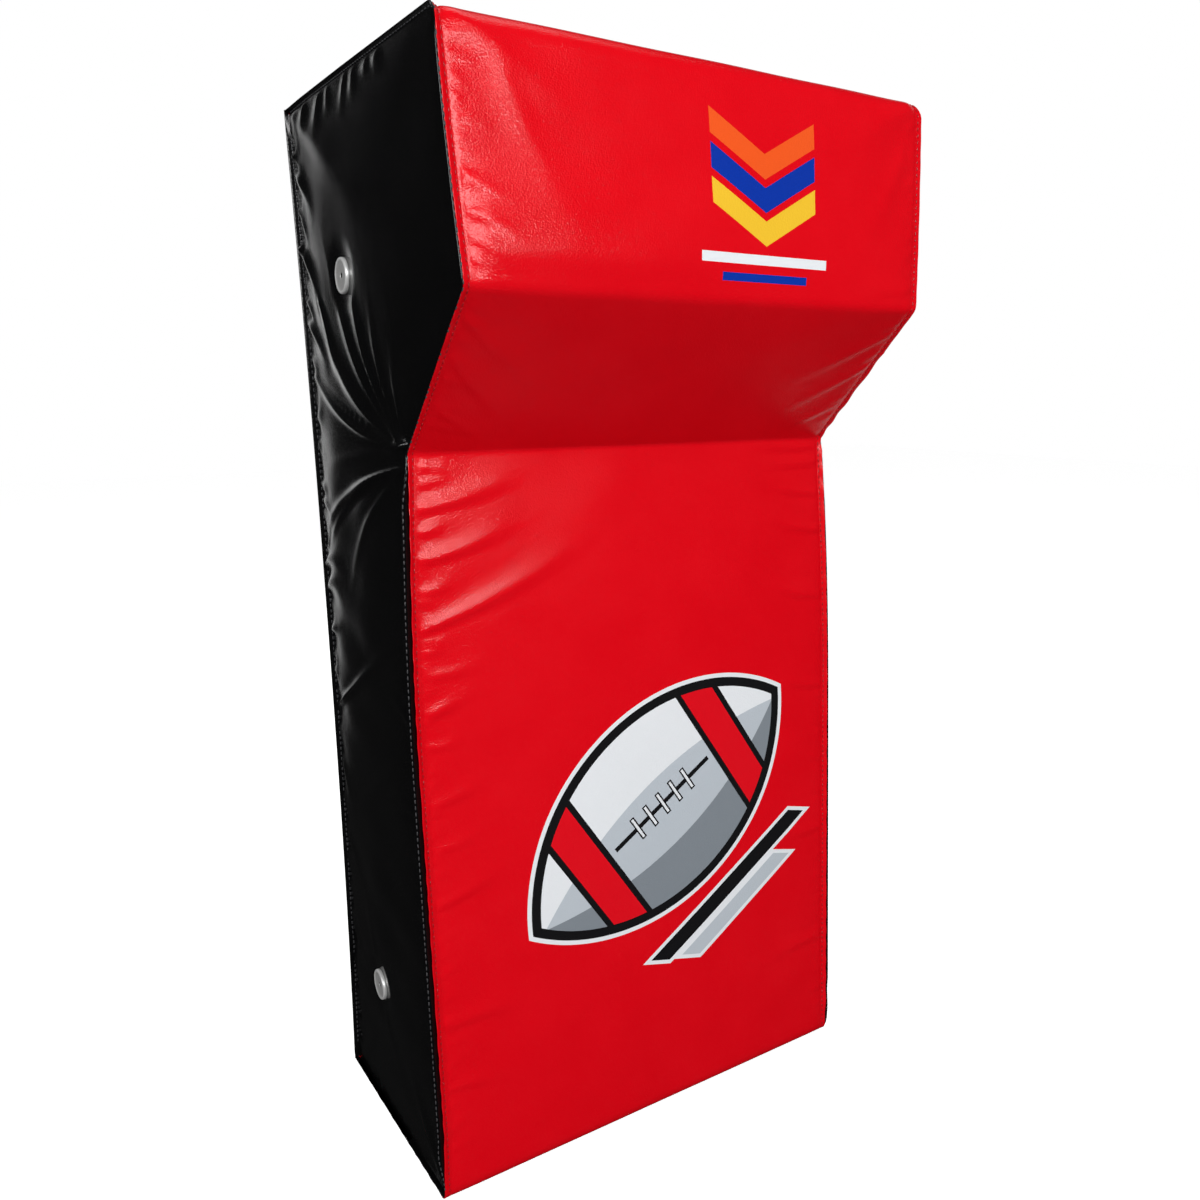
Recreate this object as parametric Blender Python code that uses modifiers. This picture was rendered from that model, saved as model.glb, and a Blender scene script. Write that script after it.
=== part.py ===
"""A tackle shield: a foam core with a wedge head in a sewn vinyl cover.

The cover is one front strip, two side panels and a back panel with a zip. Arm
straps are sewn to the back, and metal vents let the air out at the sides.
Metres, +Z up, front towards -Y, origin at the middle of the base.
"""

import math

import bmesh
import bpy
from mathutils import Matrix, Vector

# Outer form
HEIGHT = 0.900
BODY_WIDTH = 0.415
BODY_DEPTH = 0.242
HEAD_DEPTH = 0.3425
HEAD_FACE_HEIGHT = 0.166
SLOPE_DROP = 0.111
HEAD_LEAN = 0.0105
FOLD_DRAW = 0.017
TOP_EDGE_RADIUS = 0.015
BOTTOM_EDGE_RADIUS = 0.013
HEAD_EDGE_RADIUS = 0.007
FOLD_RADIUS = 0.005
BACK_EDGE_RADIUS = 0.003

# Fit between pieces that touch
FIT_GAP = 0.0003
CORE_GAP = 0.0009
CUT_OVERRUN = 0.010
SLICE_TOLERANCE = 0.000001
WELD_DISTANCE = 0.0001

# Sewn cover
COVER_THICKNESS = 0.001
SEAM_LIP = 0.005
BACK_LAP = 0.012
FRONT_CROWN = 0.004
SLOPE_CROWN = 0.002
SIDE_CROWN = 0.004
TOP_CROWN = 0.003
NOTCH_DRAW = 0.009
NOTCH_DRAW_REACH = 0.250
BACK_DRAW = 0.005
PANEL_CELL = 0.045
CROWN_COLUMN_shares = (-0.9, -0.65, -0.25, 0.25, 0.65, 0.9)
CROWN_POWER = 2.4

# Foam core
ARM_SHEET_THICKNESS = 0.025

# Zip in the back panel
ZIP_HEIGHT = 0.110
ZIP_SIDE_MARGIN = 0.0195
ZIP_SLOT_WIDTH = 0.015
TAPE_WIDTH = 0.016
TAPE_THICKNESS = 0.0006
TAPE_END = 0.008
TOOTH_PITCH = 0.0055
TOOTH_THICKNESS = 0.0026
TOOTH_HEAD_WIDTH = 0.0024
TOOTH_NECK_WIDTH = 0.0016
TOOTH_REACH = 0.0016
TOOTH_HEAD_LENGTH = 0.0010
TOOTH_ROOT = 0.0036
TAPE_EDGE = 0.0022
STOP_LENGTH = 0.0045
STOP_ROOT = 0.0042
STOP_CORNER = 0.0010
GROOVE_MARGIN = 0.002

# Zip slider and its pull
SLIDER_LENGTH = 0.017
SLIDER_REAR_WIDTH = 0.0112
SLIDER_FRONT_WIDTH = 0.0140
SLIDER_PLATE = 0.0012
SLIDER_RUNNING_GAP = 0.0004
SLIDER_CORNER = 0.0018
POST_FRONT_WIDTH = 0.0032
POST_LENGTH = 0.0070
BRIDGE_LENGTH = 0.0096
BRIDGE_WIDTH = 0.0028
BRIDGE_THICKNESS = 0.0013
BRIDGE_INNER_HEIGHT = 0.0026
PULL_THICKNESS = 0.0014
PULL_BAR = 0.0014
PULL_LIFT = 0.0013
PULL_RAIL = 0.0017
PULL_LENGTH = 0.034
PULL_END_WIDTH = 0.0095
PULL_EYE_RADIUS = 0.0022
PULL_EYE_STEPS = 12

# Side vents
UPPER_VENT_DROP = 0.144
LOWER_VENT_HEIGHT = 0.134
VENT_INSETS = (0.131, 0.106)
VENT_RADIUS = 0.014
VENT_RIM = 0.0013
VENT_FACE = 0.0032
VENT_SHEET = 0.0007
VENT_DISH = 0.0004
VENT_BARREL_RADIUS = 0.0045
VENT_BORE_RADIUS = 0.0016
CLINCH_WIDTH = 0.0012
CLINCH_THICKNESS = 0.0007
WASHER_RADIUS = 0.0105
WASHER_THICKNESS = 0.0009
VENT_POCKET_MARGIN = 0.0015
VENT_STEPS = 18

# Padded arm straps on the back
STRAP_HEIGHTS = (0.345, 0.615)
STRAP_WIDTH = 0.050
STRAP_THICKNESS = 0.0025
STRAP_SIDE_MARGIN = 0.0395
STRAP_END = 0.048
STRAP_RISE = 0.048
STRAP_STANDOFF = 0.045
STRAP_FOOT_RADIUS = 0.018
STRAP_SHOULDER_RADIUS = 0.030
SLEEVE_END_GAP = 0.001
SLEEVE_WIDTH = 0.066
SLEEVE_THICKNESS = 0.018
SLEEVE_CORNER = 0.0075
SLEEVE_CROWN = 0.0025
PATCH_LENGTH = 0.066
PATCH_WIDTH = 0.074
PATCH_THICKNESS = 0.001
PATCH_CORNER = 0.010

# Places worked out from the sizes above
HEAD_EDGE_HEIGHT = HEIGHT - HEAD_FACE_HEIGHT
FOLD_HEIGHT = HEAD_EDGE_HEIGHT - SLOPE_DROP
VENT_HEIGHTS = (HEIGHT - UPPER_VENT_DROP, LOWER_VENT_HEIGHT)
ZIP_SLOT_LENGTH = BODY_WIDTH - 2 * ZIP_SIDE_MARGIN
STRAP_SPAN = BODY_WIDTH - 2 * (STRAP_SIDE_MARGIN + STRAP_END)
STRAP_GRIP = STRAP_SPAN - 2 * STRAP_RISE
BACK = BODY_DEPTH / 2
BODY_FRONT = BACK - BODY_DEPTH
HEAD_FRONT = BACK - HEAD_DEPTH
SKIN_MIDDLE = COVER_THICKNESS / 2
SEAM_PITCH = COVER_THICKNESS + FIT_GAP
FOAM_INSET = COVER_THICKNESS + CORE_GAP
CORE_JOINT = BACK - FOAM_INSET - ARM_SHEET_THICKNESS
HEAD_JOINT = BODY_FRONT + FOAM_INSET
TAPE_MIDDLE = BACK - COVER_THICKNESS - FIT_GAP - TAPE_THICKNESS / 2
CHANNEL_HALF = TOOTH_THICKNESS / 2 + SLIDER_RUNNING_GAP
SLIDER_HALF = CHANNEL_HALF + SLIDER_PLATE
CHAIN_START = -ZIP_SLOT_LENGTH / 2 + STOP_LENGTH + FIT_GAP
SLIDER_REST = ZIP_SLOT_LENGTH / 2 - STOP_LENGTH - 2 * FIT_GAP - SLIDER_LENGTH / 2
CHAIN_END = SLIDER_REST + SLIDER_LENGTH / 2 - POST_LENGTH - FIT_GAP


def material(name, colour, roughness, metallic=0.0):
    made = bpy.data.materials.new(name)
    made.use_nodes = True
    shader = made.node_tree.nodes["Principled BSDF"]
    shader.inputs["Base Color"].default_value = (*colour, 1.0)
    shader.inputs["Roughness"].default_value = roughness
    shader.inputs["Metallic"].default_value = metallic
    return made


def red_vinyl(name):
    return material(name, (0.72, 0.008, 0.016), 0.32)


def black_vinyl(name):
    return material(name, (0.010, 0.010, 0.011), 0.28)


def foam(name):
    return material(name, (0.55, 0.56, 0.58), 0.95)


def black_fabric(name):
    return material(name, (0.014, 0.014, 0.015), 0.85)


def black_plastic(name):
    return material(name, (0.012, 0.012, 0.013), 0.45)


def nickel(name):
    return material(name, (0.62, 0.61, 0.59), 0.28, 1.0)


def new_collection(name, hidden=False):
    made = bpy.data.collections.new(name)
    made.hide_render = hidden
    bpy.context.scene.collection.children.link(made)
    return made


def add_object(name, data, collection, surface=None, matrix=None):
    made = bpy.data.objects.new(name, data)
    if surface:
        data.materials.append(surface)
    if matrix is not None:
        made.matrix_world = matrix
    collection.objects.link(made)
    return made


def mesh_object(name, bm, collection, surface=None, matrix=None):
    data = bpy.data.meshes.new(name)
    bmesh.ops.recalc_face_normals(bm, faces=bm.faces)
    bm.to_mesh(data)
    bm.free()
    return add_object(name, data, collection, surface, matrix)


def smooth(obj, degrees=35):
    obj.data.shade_smooth()
    obj.data.set_sharp_from_angle(angle=math.radians(degrees))


# Outlines

def inset_polygon(points, inset):
    """Moves the sides of a counter-clockwise polygon inwards."""
    moved = []
    for n, point in enumerate(points):
        before = (point - points[n - 1]).normalized()
        after = (points[(n + 1) % len(points)] - point).normalized()
        first = Vector((-before.y, before.x))
        second = Vector((-after.y, after.x))
        moved.append(point + (first + second) * inset / (1 + first.dot(second)))
    return moved


def arc_at(before, corner, after, radius, steps):
    """The points of an arc that rounds one corner."""
    along_in = (corner - before).normalized()
    along_out = (after - corner).normalized()
    turn = along_in.angle_signed(along_out)
    side = 1 if turn < 0 else -1
    start = corner - along_in * radius * math.tan(abs(turn) / 2)
    middle = start + Vector((-along_in.y, along_in.x)) * radius * side
    spokes = []
    for step in range(steps + 1):
        turned = Matrix.Rotation(-turn * step / steps, 2)
        spokes.append(middle + turned @ (start - middle))
    return spokes


def rounded_path(points, radii, steps=4, closed=False):
    """A path through the points, with an arc at each corner that has a radius."""
    path = []
    for n, corner in enumerate(points):
        at_end = not closed and n in (0, len(points) - 1)
        if at_end or not radii[n]:
            path.append(corner)
        else:
            after = points[(n + 1) % len(points)]
            path += arc_at(points[n - 1], corner, after, radii[n], steps)
    return path


def side_corners(inset):
    """The shield's side view, (depth, height) pairs, counter-clockwise from the top of the back."""
    outer = [
        Vector((BACK, HEIGHT)),
        Vector((HEAD_FRONT, HEIGHT)),
        Vector((HEAD_FRONT, HEAD_EDGE_HEIGHT)),
        Vector((BODY_FRONT, FOLD_HEIGHT)),
        Vector((BODY_FRONT, 0)),
        Vector((BACK, 0)),
    ]
    return inset_polygon(outer, inset)


def side_radii(inset):
    return [
        0,
        TOP_EDGE_RADIUS - inset,
        HEAD_EDGE_RADIUS - inset,
        FOLD_RADIUS + inset,
        BOTTOM_EDGE_RADIUS - inset,
        0,
    ]


def front_at(height):
    """The depth of the shield's front at a height."""
    if height >= HEAD_EDGE_HEIGHT:
        return HEAD_FRONT
    if height <= FOLD_HEIGHT:
        return BODY_FRONT
    share = (height - FOLD_HEIGHT) / (HEAD_EDGE_HEIGHT - FOLD_HEIGHT)
    return BODY_FRONT + (HEAD_FRONT - BODY_FRONT) * share


# The stuffed form

def bump(share):
    """One over most of a span and zero at both of its ends."""
    if not 0 < share < 1:
        return 0.0
    return 1 - abs(2 * share - 1) ** CROWN_POWER


def front_crown(height):
    if height < FOLD_HEIGHT:
        return FRONT_CROWN * bump(height / FOLD_HEIGHT)
    if height > HEAD_EDGE_HEIGHT:
        return FRONT_CROWN * bump((height - HEAD_EDGE_HEIGHT) / (HEIGHT - HEAD_EDGE_HEIGHT))
    return SLOPE_CROWN * bump((height - FOLD_HEIGHT) / (HEAD_EDGE_HEIGHT - FOLD_HEIGHT))


def drawn_in(height):
    """How far the seams pull the front edges in, most at the notch under the head."""
    above = max(0.0, height - HEAD_EDGE_HEIGHT)
    below = max(0.0, FOLD_HEIGHT - height)
    fade = max(0.0, 1 - (above + below) / NOTCH_DRAW_REACH)
    return NOTCH_DRAW * fade**2


def drawn_back(height):
    """How far the front lies behind the flat-sided form: most at the fold, and at the head's top."""
    if height < FOLD_HEIGHT:
        return FOLD_DRAW * height / FOLD_HEIGHT
    if height > HEAD_EDGE_HEIGHT:
        return HEAD_LEAN * (height - HEAD_EDGE_HEIGHT) / HEAD_FACE_HEIGHT
    return FOLD_DRAW * (HEAD_EDGE_HEIGHT - height) / SLOPE_DROP


def stuffed(point):
    """Moves a point of the flat-sided form to where the stuffing and the seams put it."""
    front = front_at(point.z)
    depth_share = (point.y - front) / (BACK - front)
    height_share = point.z / HEIGHT
    width_share = point.x / (BODY_WIDTH / 2)
    across = bump(width_share / 2 + 0.5)
    back_share = min(max(depth_share, 0.0), 1.0)
    sides = SIDE_CROWN * bump(depth_share) * bump(height_share)
    sides -= drawn_in(point.z) * (1 - back_share) ** 2
    sides -= BACK_DRAW * back_share**2 * bump(height_share)
    head_share = max(0.0, (point.z - HEAD_EDGE_HEIGHT) / (HEIGHT - HEAD_EDGE_HEIGHT))
    return Vector((
        point.x + sides * width_share,
        point.y + (drawn_back(point.z) - front_crown(point.z) * across) * (1 - back_share),
        point.z + TOP_CROWN * across * bump(depth_share) * head_share,
    ))


def stuff(verts):
    for vert in verts:
        vert.co = stuffed(vert.co)


def even_places(low, high, cell):
    """Places that split a span into equal cells, without its ends."""
    cells = max(1, round((high - low) / cell))
    return [low + (high - low) * n / cells for n in range(1, cells)]


def slice_mesh(bm, axis, places):
    """Cuts a mesh along planes square to an axis, so that it can be bent."""
    normal = Vector((0, 0, 0))
    normal[axis] = 1
    for place in places:
        geometry = bm.verts[:] + bm.edges[:] + bm.faces[:]
        bmesh.ops.bisect_plane(
            bm, geom=geometry, dist=SLICE_TOLERANCE, plane_co=normal * place, plane_no=normal
        )


def crown_columns():
    return [share * BODY_WIDTH / 2 for share in CROWN_COLUMN_shares]


def slice_heights():
    """Heights at which the form's front bends, and even steps between them."""
    stops = [0, FOLD_HEIGHT, HEAD_EDGE_HEIGHT, HEIGHT]
    places = [FOLD_HEIGHT, HEAD_EDGE_HEIGHT]
    for low, high in zip(stops, stops[1:]):
        places += even_places(low, high, PANEL_CELL)
    return places


def slice_depths():
    """Even steps of depth, and the core's two joints."""
    places = even_places(HEAD_FRONT, BACK, PANEL_CELL)
    return places + [CORE_JOINT, CORE_JOINT - CORE_GAP, HEAD_JOINT, HEAD_JOINT - CORE_GAP]


# Foam core

def foam_block(name, outline, surface, collection):
    """A block of foam: a side outline carried across the width, then stuffed."""
    half = BODY_WIDTH / 2 - FOAM_INSET
    bm = bmesh.new()
    verts = [bm.verts.new((-half, y, z)) for y, z in outline]
    face = bm.faces.new(verts)
    swept = bmesh.ops.extrude_face_region(bm, geom=[face])["geom"]
    moved = [item for item in swept if isinstance(item, bmesh.types.BMVert)]
    bmesh.ops.translate(bm, verts=moved, vec=(2 * half, 0, 0))
    slice_mesh(bm, 0, crown_columns()[1::3])
    slice_mesh(bm, 1, slice_depths())
    slice_mesh(bm, 2, slice_heights())
    stuff(bm.verts)
    obj = mesh_object(name, bm, collection, surface)
    smooth(obj)
    return obj


def core_corners():
    return side_corners(FOAM_INSET)


def make_arm_sheet(collection):
    """The firm sheet behind the arm straps, with the groove that the zip presses into it."""
    corners = core_corners()
    back = corners[0].x
    front = CORE_JOINT
    reach = TAPE_EDGE + TAPE_WIDTH + GROOVE_MARGIN
    floor = TAPE_MIDDLE - SLIDER_HALF - SLIDER_RUNNING_GAP
    outline = [
        (back, corners[0].y),
        (front, corners[0].y),
        (front, corners[5].y),
        (back, corners[5].y),
        (back, ZIP_HEIGHT - reach),
        (floor, ZIP_HEIGHT - reach),
        (floor, ZIP_HEIGHT + reach),
        (back, ZIP_HEIGHT + reach),
    ]
    return foam_block("core_arm_sheet", outline, foam("arm_sheet_foam"), collection)


def make_slab(collection):
    """The main slab, full height, in front of the arm sheet."""
    corners = core_corners()
    back = CORE_JOINT - CORE_GAP
    front = HEAD_JOINT
    points = [
        Vector((back, corners[0].y)),
        Vector((front, corners[0].y)),
        Vector((front, corners[4].y)),
        Vector((back, corners[5].y)),
    ]
    radii = [0, 0, BOTTOM_EDGE_RADIUS - FOAM_INSET, 0]
    outline = rounded_path(points, radii, closed=True)
    return foam_block("core_slab", outline, foam("slab_foam"), collection)


def make_head_block(collection):
    """The wedge block glued to the slab's front to make the head."""
    corners = core_corners()
    back = HEAD_JOINT - CORE_GAP
    fold, edge = corners[3], corners[2]
    share = (back - fold.x) / (edge.x - fold.x)
    points = [
        Vector((back, corners[0].y)),
        corners[1],
        edge,
        fold.lerp(edge, share),
    ]
    radii = [0, TOP_EDGE_RADIUS - FOAM_INSET, HEAD_EDGE_RADIUS - FOAM_INSET, 0]
    outline = rounded_path(points, radii, closed=True)
    return foam_block("core_head_block", outline, foam("head_foam"), collection)


# Sewn cover

def add_thickness(obj, thickness):
    shell = obj.modifiers.new("cover thickness", "SOLIDIFY")
    shell.thickness = thickness
    shell.offset = 0
    shell.use_even_offset = True
    shell.use_quality_normals = True


def make_front_cover(collection):
    """One strip from the back over the top, head, slope, lower front and base to the back again.

    It is wider than the body by a lip along both side seams, and its two ends
    lap the back panel.
    """
    middle = side_corners(SKIN_MIDDLE)
    lap = BACK + FIT_GAP + SKIN_MIDDLE
    top, base = middle[0].y, middle[5].y
    corners = [Vector((lap, top - BACK_LAP)), Vector((lap, top))]
    corners += middle[1:5]
    corners += [Vector((lap, base)), Vector((lap, base + BACK_LAP))]
    front_radii = side_radii(SKIN_MIDDLE)[1:5]
    radii = [0, BACK_EDGE_RADIUS, *front_radii, BACK_EDGE_RADIUS, 0]
    path = rounded_path(corners, radii)
    half = BODY_WIDTH / 2 + SEAM_LIP
    bm = bmesh.new()
    verts = [bm.verts.new((-half, y, z)) for y, z in path]
    edges = [bm.edges.new(pair) for pair in zip(verts, verts[1:])]
    swept = bmesh.ops.extrude_edge_only(bm, edges=edges)["geom"]
    moved = [item for item in swept if isinstance(item, bmesh.types.BMVert)]
    bmesh.ops.translate(bm, verts=moved, vec=(2 * half, 0, 0))
    slice_mesh(bm, 0, crown_columns() + [-BODY_WIDTH / 2, BODY_WIDTH / 2])
    slice_mesh(bm, 1, slice_depths())
    slice_mesh(bm, 2, slice_heights())
    stuff(bm.verts)
    obj = mesh_object("front_cover", bm, collection, red_vinyl("front_vinyl"))
    add_thickness(obj, COVER_THICKNESS)
    smooth(obj)
    return obj


def side_panel_mesh(side):
    """A side panel's middle surface, with its edges turned out along the seams."""
    inset = SKIN_MIDDLE + SEAM_PITCH
    outline = rounded_path(side_corners(inset), side_radii(inset), closed=True)
    across = side * (BODY_WIDTH / 2 - SKIN_MIDDLE)
    bm = bmesh.new()
    verts = [bm.verts.new((across, y, z)) for y, z in outline]
    bm.faces.new(verts)
    swept = bmesh.ops.extrude_edge_only(bm, edges=bm.edges[:])["geom"]
    moved = [item for item in swept if isinstance(item, bmesh.types.BMVert)]
    bmesh.ops.translate(bm, verts=moved, vec=(side * (SEAM_LIP + SKIN_MIDDLE), 0, 0))
    slice_mesh(bm, 1, slice_depths())
    slice_mesh(bm, 2, slice_heights())
    stuff(bm.verts)
    return bm


def make_side_panel(name, side, collection):
    obj = mesh_object(name, side_panel_mesh(side), collection, black_vinyl(name + "_vinyl"))
    add_thickness(obj, COVER_THICKNESS)
    smooth(obj)
    return obj


def make_back_panel(collection):
    """The back panel: flat, with a slot for the zip, and as wide as the front strip."""
    half = BODY_WIDTH / 2 + SEAM_LIP
    across = BACK - SKIN_MIDDLE
    inset = COVER_THICKNESS + BACK_EDGE_RADIUS
    bm = bmesh.new()
    rim = [(-half, inset), (half, inset), (half, HEIGHT - inset), (-half, HEIGHT - inset)]
    verts = [bm.verts.new((x, across, z)) for x, z in rim]
    bm.faces.new(verts)
    low, high = ZIP_HEIGHT - ZIP_SLOT_WIDTH / 2, ZIP_HEIGHT + ZIP_SLOT_WIDTH / 2
    slice_mesh(bm, 0, [-ZIP_SLOT_LENGTH / 2, ZIP_SLOT_LENGTH / 2])
    slice_mesh(bm, 2, slice_heights() + [low, high])
    slot = [face for face in bm.faces if in_zip_slot(face.calc_center_median())]
    bmesh.ops.delete(bm, geom=slot, context="FACES")
    stuff([vert for vert in bm.verts if abs(vert.co.x) > BODY_WIDTH / 2])
    obj = mesh_object("back_panel", bm, collection, black_vinyl("back_vinyl"))
    add_thickness(obj, COVER_THICKNESS)
    smooth(obj)
    return obj


def in_zip_slot(point):
    return abs(point.x) < ZIP_SLOT_LENGTH / 2 and abs(point.z - ZIP_HEIGHT) < ZIP_SLOT_WIDTH / 2


# Flat outlines

def outline_object(name, loops, thickness, collection, surface, matrix):
    """A flat outline, with any holes, given a thickness about its own plane."""
    data = bpy.data.curves.new(name, "CURVE")
    data.dimensions = "2D"
    data.fill_mode = "BOTH"
    data.extrude = thickness / 2
    for loop in loops:
        spline = data.splines.new("POLY")
        spline.points.add(len(loop) - 1)
        for point, (x, y) in zip(spline.points, loop):
            point.co = (x, y, 0, 1)
        spline.use_cyclic_u = True
    return add_object(name, data, collection, surface, matrix)


def to_mesh(obj):
    """Replaces a curve by its mesh, welded closed, where it stands."""
    bpy.context.view_layer.update()
    graph = bpy.context.evaluated_depsgraph_get()
    data = bpy.data.meshes.new_from_object(obj.evaluated_get(graph))
    bm = bmesh.new()
    bm.from_mesh(data)
    bmesh.ops.remove_doubles(bm, verts=bm.verts, dist=SLICE_TOLERANCE)
    bmesh.ops.recalc_face_normals(bm, faces=bm.faces)
    bm.to_mesh(data)
    bm.free()
    name, matrix = obj.name, obj.matrix_world.copy()
    homes = list(obj.users_collection)
    bpy.data.objects.remove(obj)
    made = bpy.data.objects.new(name, data)
    made.matrix_world = matrix
    for home in homes:
        home.objects.link(made)
    return made


def hide_as_cutter(obj):
    obj.hide_render = True
    obj.display_type = "WIRE"


def combine(obj, other, operation):
    """Joins another solid to this one, or cuts it away."""
    step = obj.modifiers.new(other.name, "BOOLEAN")
    step.operation = operation
    step.object = other
    step.solver = "EXACT"
    hide_as_cutter(other)


def rounded_rectangle(width, height, radius, steps=4):
    x, y = width / 2, height / 2
    points = [Vector(p) for p in ((x, y), (-x, y), (-x, -y), (x, -y))]
    return rounded_path(points, [radius] * len(points), steps, closed=True)


# Zip

FACING_BACK = Matrix.Rotation(math.radians(90), 4, "X")


def zip_matrix(x=0.0, lift=0.0):
    """The zip's own frame: along the chain, up the back, and square to the tape."""
    return Matrix.Translation((x, TAPE_MIDDLE + lift, ZIP_HEIGHT)) @ FACING_BACK


def tooth_outline(x, up):
    """One tooth in the tape's plane: a wide head on a narrow neck that grips the tape's edge."""
    head, neck = TOOTH_HEAD_WIDTH / 2, TOOTH_NECK_WIDTH / 2
    shoulder = TOOTH_HEAD_LENGTH - TOOTH_REACH
    half = [
        (head, -TOOTH_REACH),
        (head, shoulder),
        (neck, shoulder + (head - neck)),
        (neck, TOOTH_ROOT),
    ]
    loop = half + [(-a, b) for a, b in reversed(half)]
    return [(x + a, up * b) for a, b in loop]


def make_zip_tape(name, up, collection, cutters):
    """A zip tape with its row of moulded teeth."""
    reach = ZIP_SLOT_LENGTH / 2 + TAPE_END
    low, high = up * TAPE_EDGE, up * (TAPE_EDGE + TAPE_WIDTH)
    rim = [(-reach, low), (reach, low), (reach, high), (-reach, high)]
    tape = outline_object(name, [rim], TAPE_THICKNESS, collection, None, zip_matrix())
    tape = to_mesh(tape)
    offset = TOOTH_PITCH / 2 if up < 0 else 0
    room = CHAIN_END - CHAIN_START - TOOTH_HEAD_WIDTH - TOOTH_PITCH / 2
    count = int(room / TOOTH_PITCH) + 1
    first = CHAIN_END - TOOTH_HEAD_WIDTH / 2 - offset
    loops = [tooth_outline(first - n * TOOTH_PITCH, up) for n in range(count)]
    teeth = outline_object(
        name + "_teeth", loops, TOOTH_THICKNESS, cutters, None, zip_matrix()
    )
    teeth = to_mesh(teeth)
    combine(tape, teeth, "UNION")
    tape.data.materials.append(black_plastic(name + "_black"))
    return tape


def make_zip_stops(collection):
    """The stops clamped on the tapes: one across both at the start, one on each at the closed end."""
    surface = nickel("zip_stop_nickel")
    middle = ZIP_SLOT_LENGTH / 2 - STOP_LENGTH / 2
    thickness = (TOOTH_THICKNESS - TAPE_THICKNESS) / 2 - FIT_GAP
    lift = TAPE_THICKNESS / 2 + FIT_GAP + thickness / 2
    bottom = rounded_rectangle(STOP_LENGTH, 2 * STOP_ROOT, STOP_CORNER)
    outline_object(
        "zip_bottom_stop", [bottom], thickness, collection, surface, zip_matrix(-middle, lift)
    )
    half = (STOP_ROOT - POST_FRONT_WIDTH / 2) / 2
    place = STOP_ROOT - half
    for name, up in (("zip_top_stop_upper", 1), ("zip_top_stop_lower", -1)):
        loop = [
            (a, b + up * place)
            for a, b in rounded_rectangle(STOP_LENGTH, 2 * half, STOP_CORNER)
        ]
        outline_object(name, [loop], thickness, collection, surface, zip_matrix(middle, lift))


def make_slider(collection, cutters):
    """The slider: two plates joined by the post that parts the rows, and a bridge for the pull."""
    half = SLIDER_LENGTH / 2
    rear, front = SLIDER_REAR_WIDTH / 2, SLIDER_FRONT_WIDTH / 2
    corners = [Vector(p) for p in ((half, -front), (half, front), (-half, rear), (-half, -rear))]
    plan = rounded_path(corners, [SLIDER_CORNER] * len(corners), closed=True)
    at = zip_matrix(SLIDER_REST)
    slider = to_mesh(outline_object("zip_slider", [plan], 2 * SLIDER_HALF, collection, None, at))

    throat = TOOTH_ROOT + SLIDER_RUNNING_GAP
    mouth = throat + (SLIDER_FRONT_WIDTH - SLIDER_REAR_WIDTH) / 2
    post = POST_FRONT_WIDTH / 2
    end = half + CUT_OVERRUN
    lanes = [
        (-end, -throat),
        (0, -throat),
        (half, -mouth),
        (end, -mouth),
        (end, -post),
        (half, -post),
        (half - POST_LENGTH, 0),
        (half, post),
        (end, post),
        (end, mouth),
        (half, mouth),
        (0, throat),
        (-end, throat),
    ]
    channel = outline_object("slider_channel", [lanes], 2 * CHANNEL_HALF, cutters, None, at)
    combine(slider, to_mesh(channel), "DIFFERENCE")

    gap = TAPE_THICKNESS + 2 * SLIDER_RUNNING_GAP
    for name, up in (("slider_upper_slit", 1), ("slider_lower_slit", -1)):
        slit_start = post + FIT_GAP
        slit_end = front + CUT_OVERRUN
        rim = [(-end, slit_start), (end, slit_start), (end, slit_end), (-end, slit_end)]
        slit = [(a, up * b) for a, b in rim]
        cutter = outline_object(name, [slit], gap, cutters, None, at)
        combine(slider, to_mesh(cutter), "DIFFERENCE")

    bridge = to_mesh(bridge_outline("slider_bridge", cutters))
    combine(slider, bridge, "UNION")
    slider.data.materials.append(nickel("slider_nickel"))
    return slider


def bridge_outline(name, collection):
    """The arch that holds the pull, seen from the side and carried across its width."""
    sunk = SLIDER_PLATE / 2
    outer, inner = BRIDGE_LENGTH / 2, BRIDGE_LENGTH / 2 - BRIDGE_THICKNESS
    top = BRIDGE_INNER_HEIGHT + BRIDGE_THICKNESS
    outside = rounded_path(
        [Vector(p) for p in ((outer, -sunk), (outer, top), (-outer, top), (-outer, -sunk))],
        [0, BRIDGE_THICKNESS * 2, BRIDGE_THICKNESS * 2, 0],
    )
    inside = rounded_path(
        [
            Vector(p)
            for p in (
                (-inner, -sunk),
                (-inner, BRIDGE_INNER_HEIGHT),
                (inner, BRIDGE_INNER_HEIGHT),
                (inner, -sunk),
            )
        ],
        [0, BRIDGE_THICKNESS, BRIDGE_THICKNESS, 0],
    )
    place = Matrix.Translation((SLIDER_REST, TAPE_MIDDLE + SLIDER_HALF, ZIP_HEIGHT))
    return outline_object(name, [outside + inside], BRIDGE_WIDTH, collection, None, place)


def pull_axis():
    return Vector((SLIDER_REST, TAPE_MIDDLE + SLIDER_HALF + PULL_LIFT, ZIP_HEIGHT))


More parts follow.
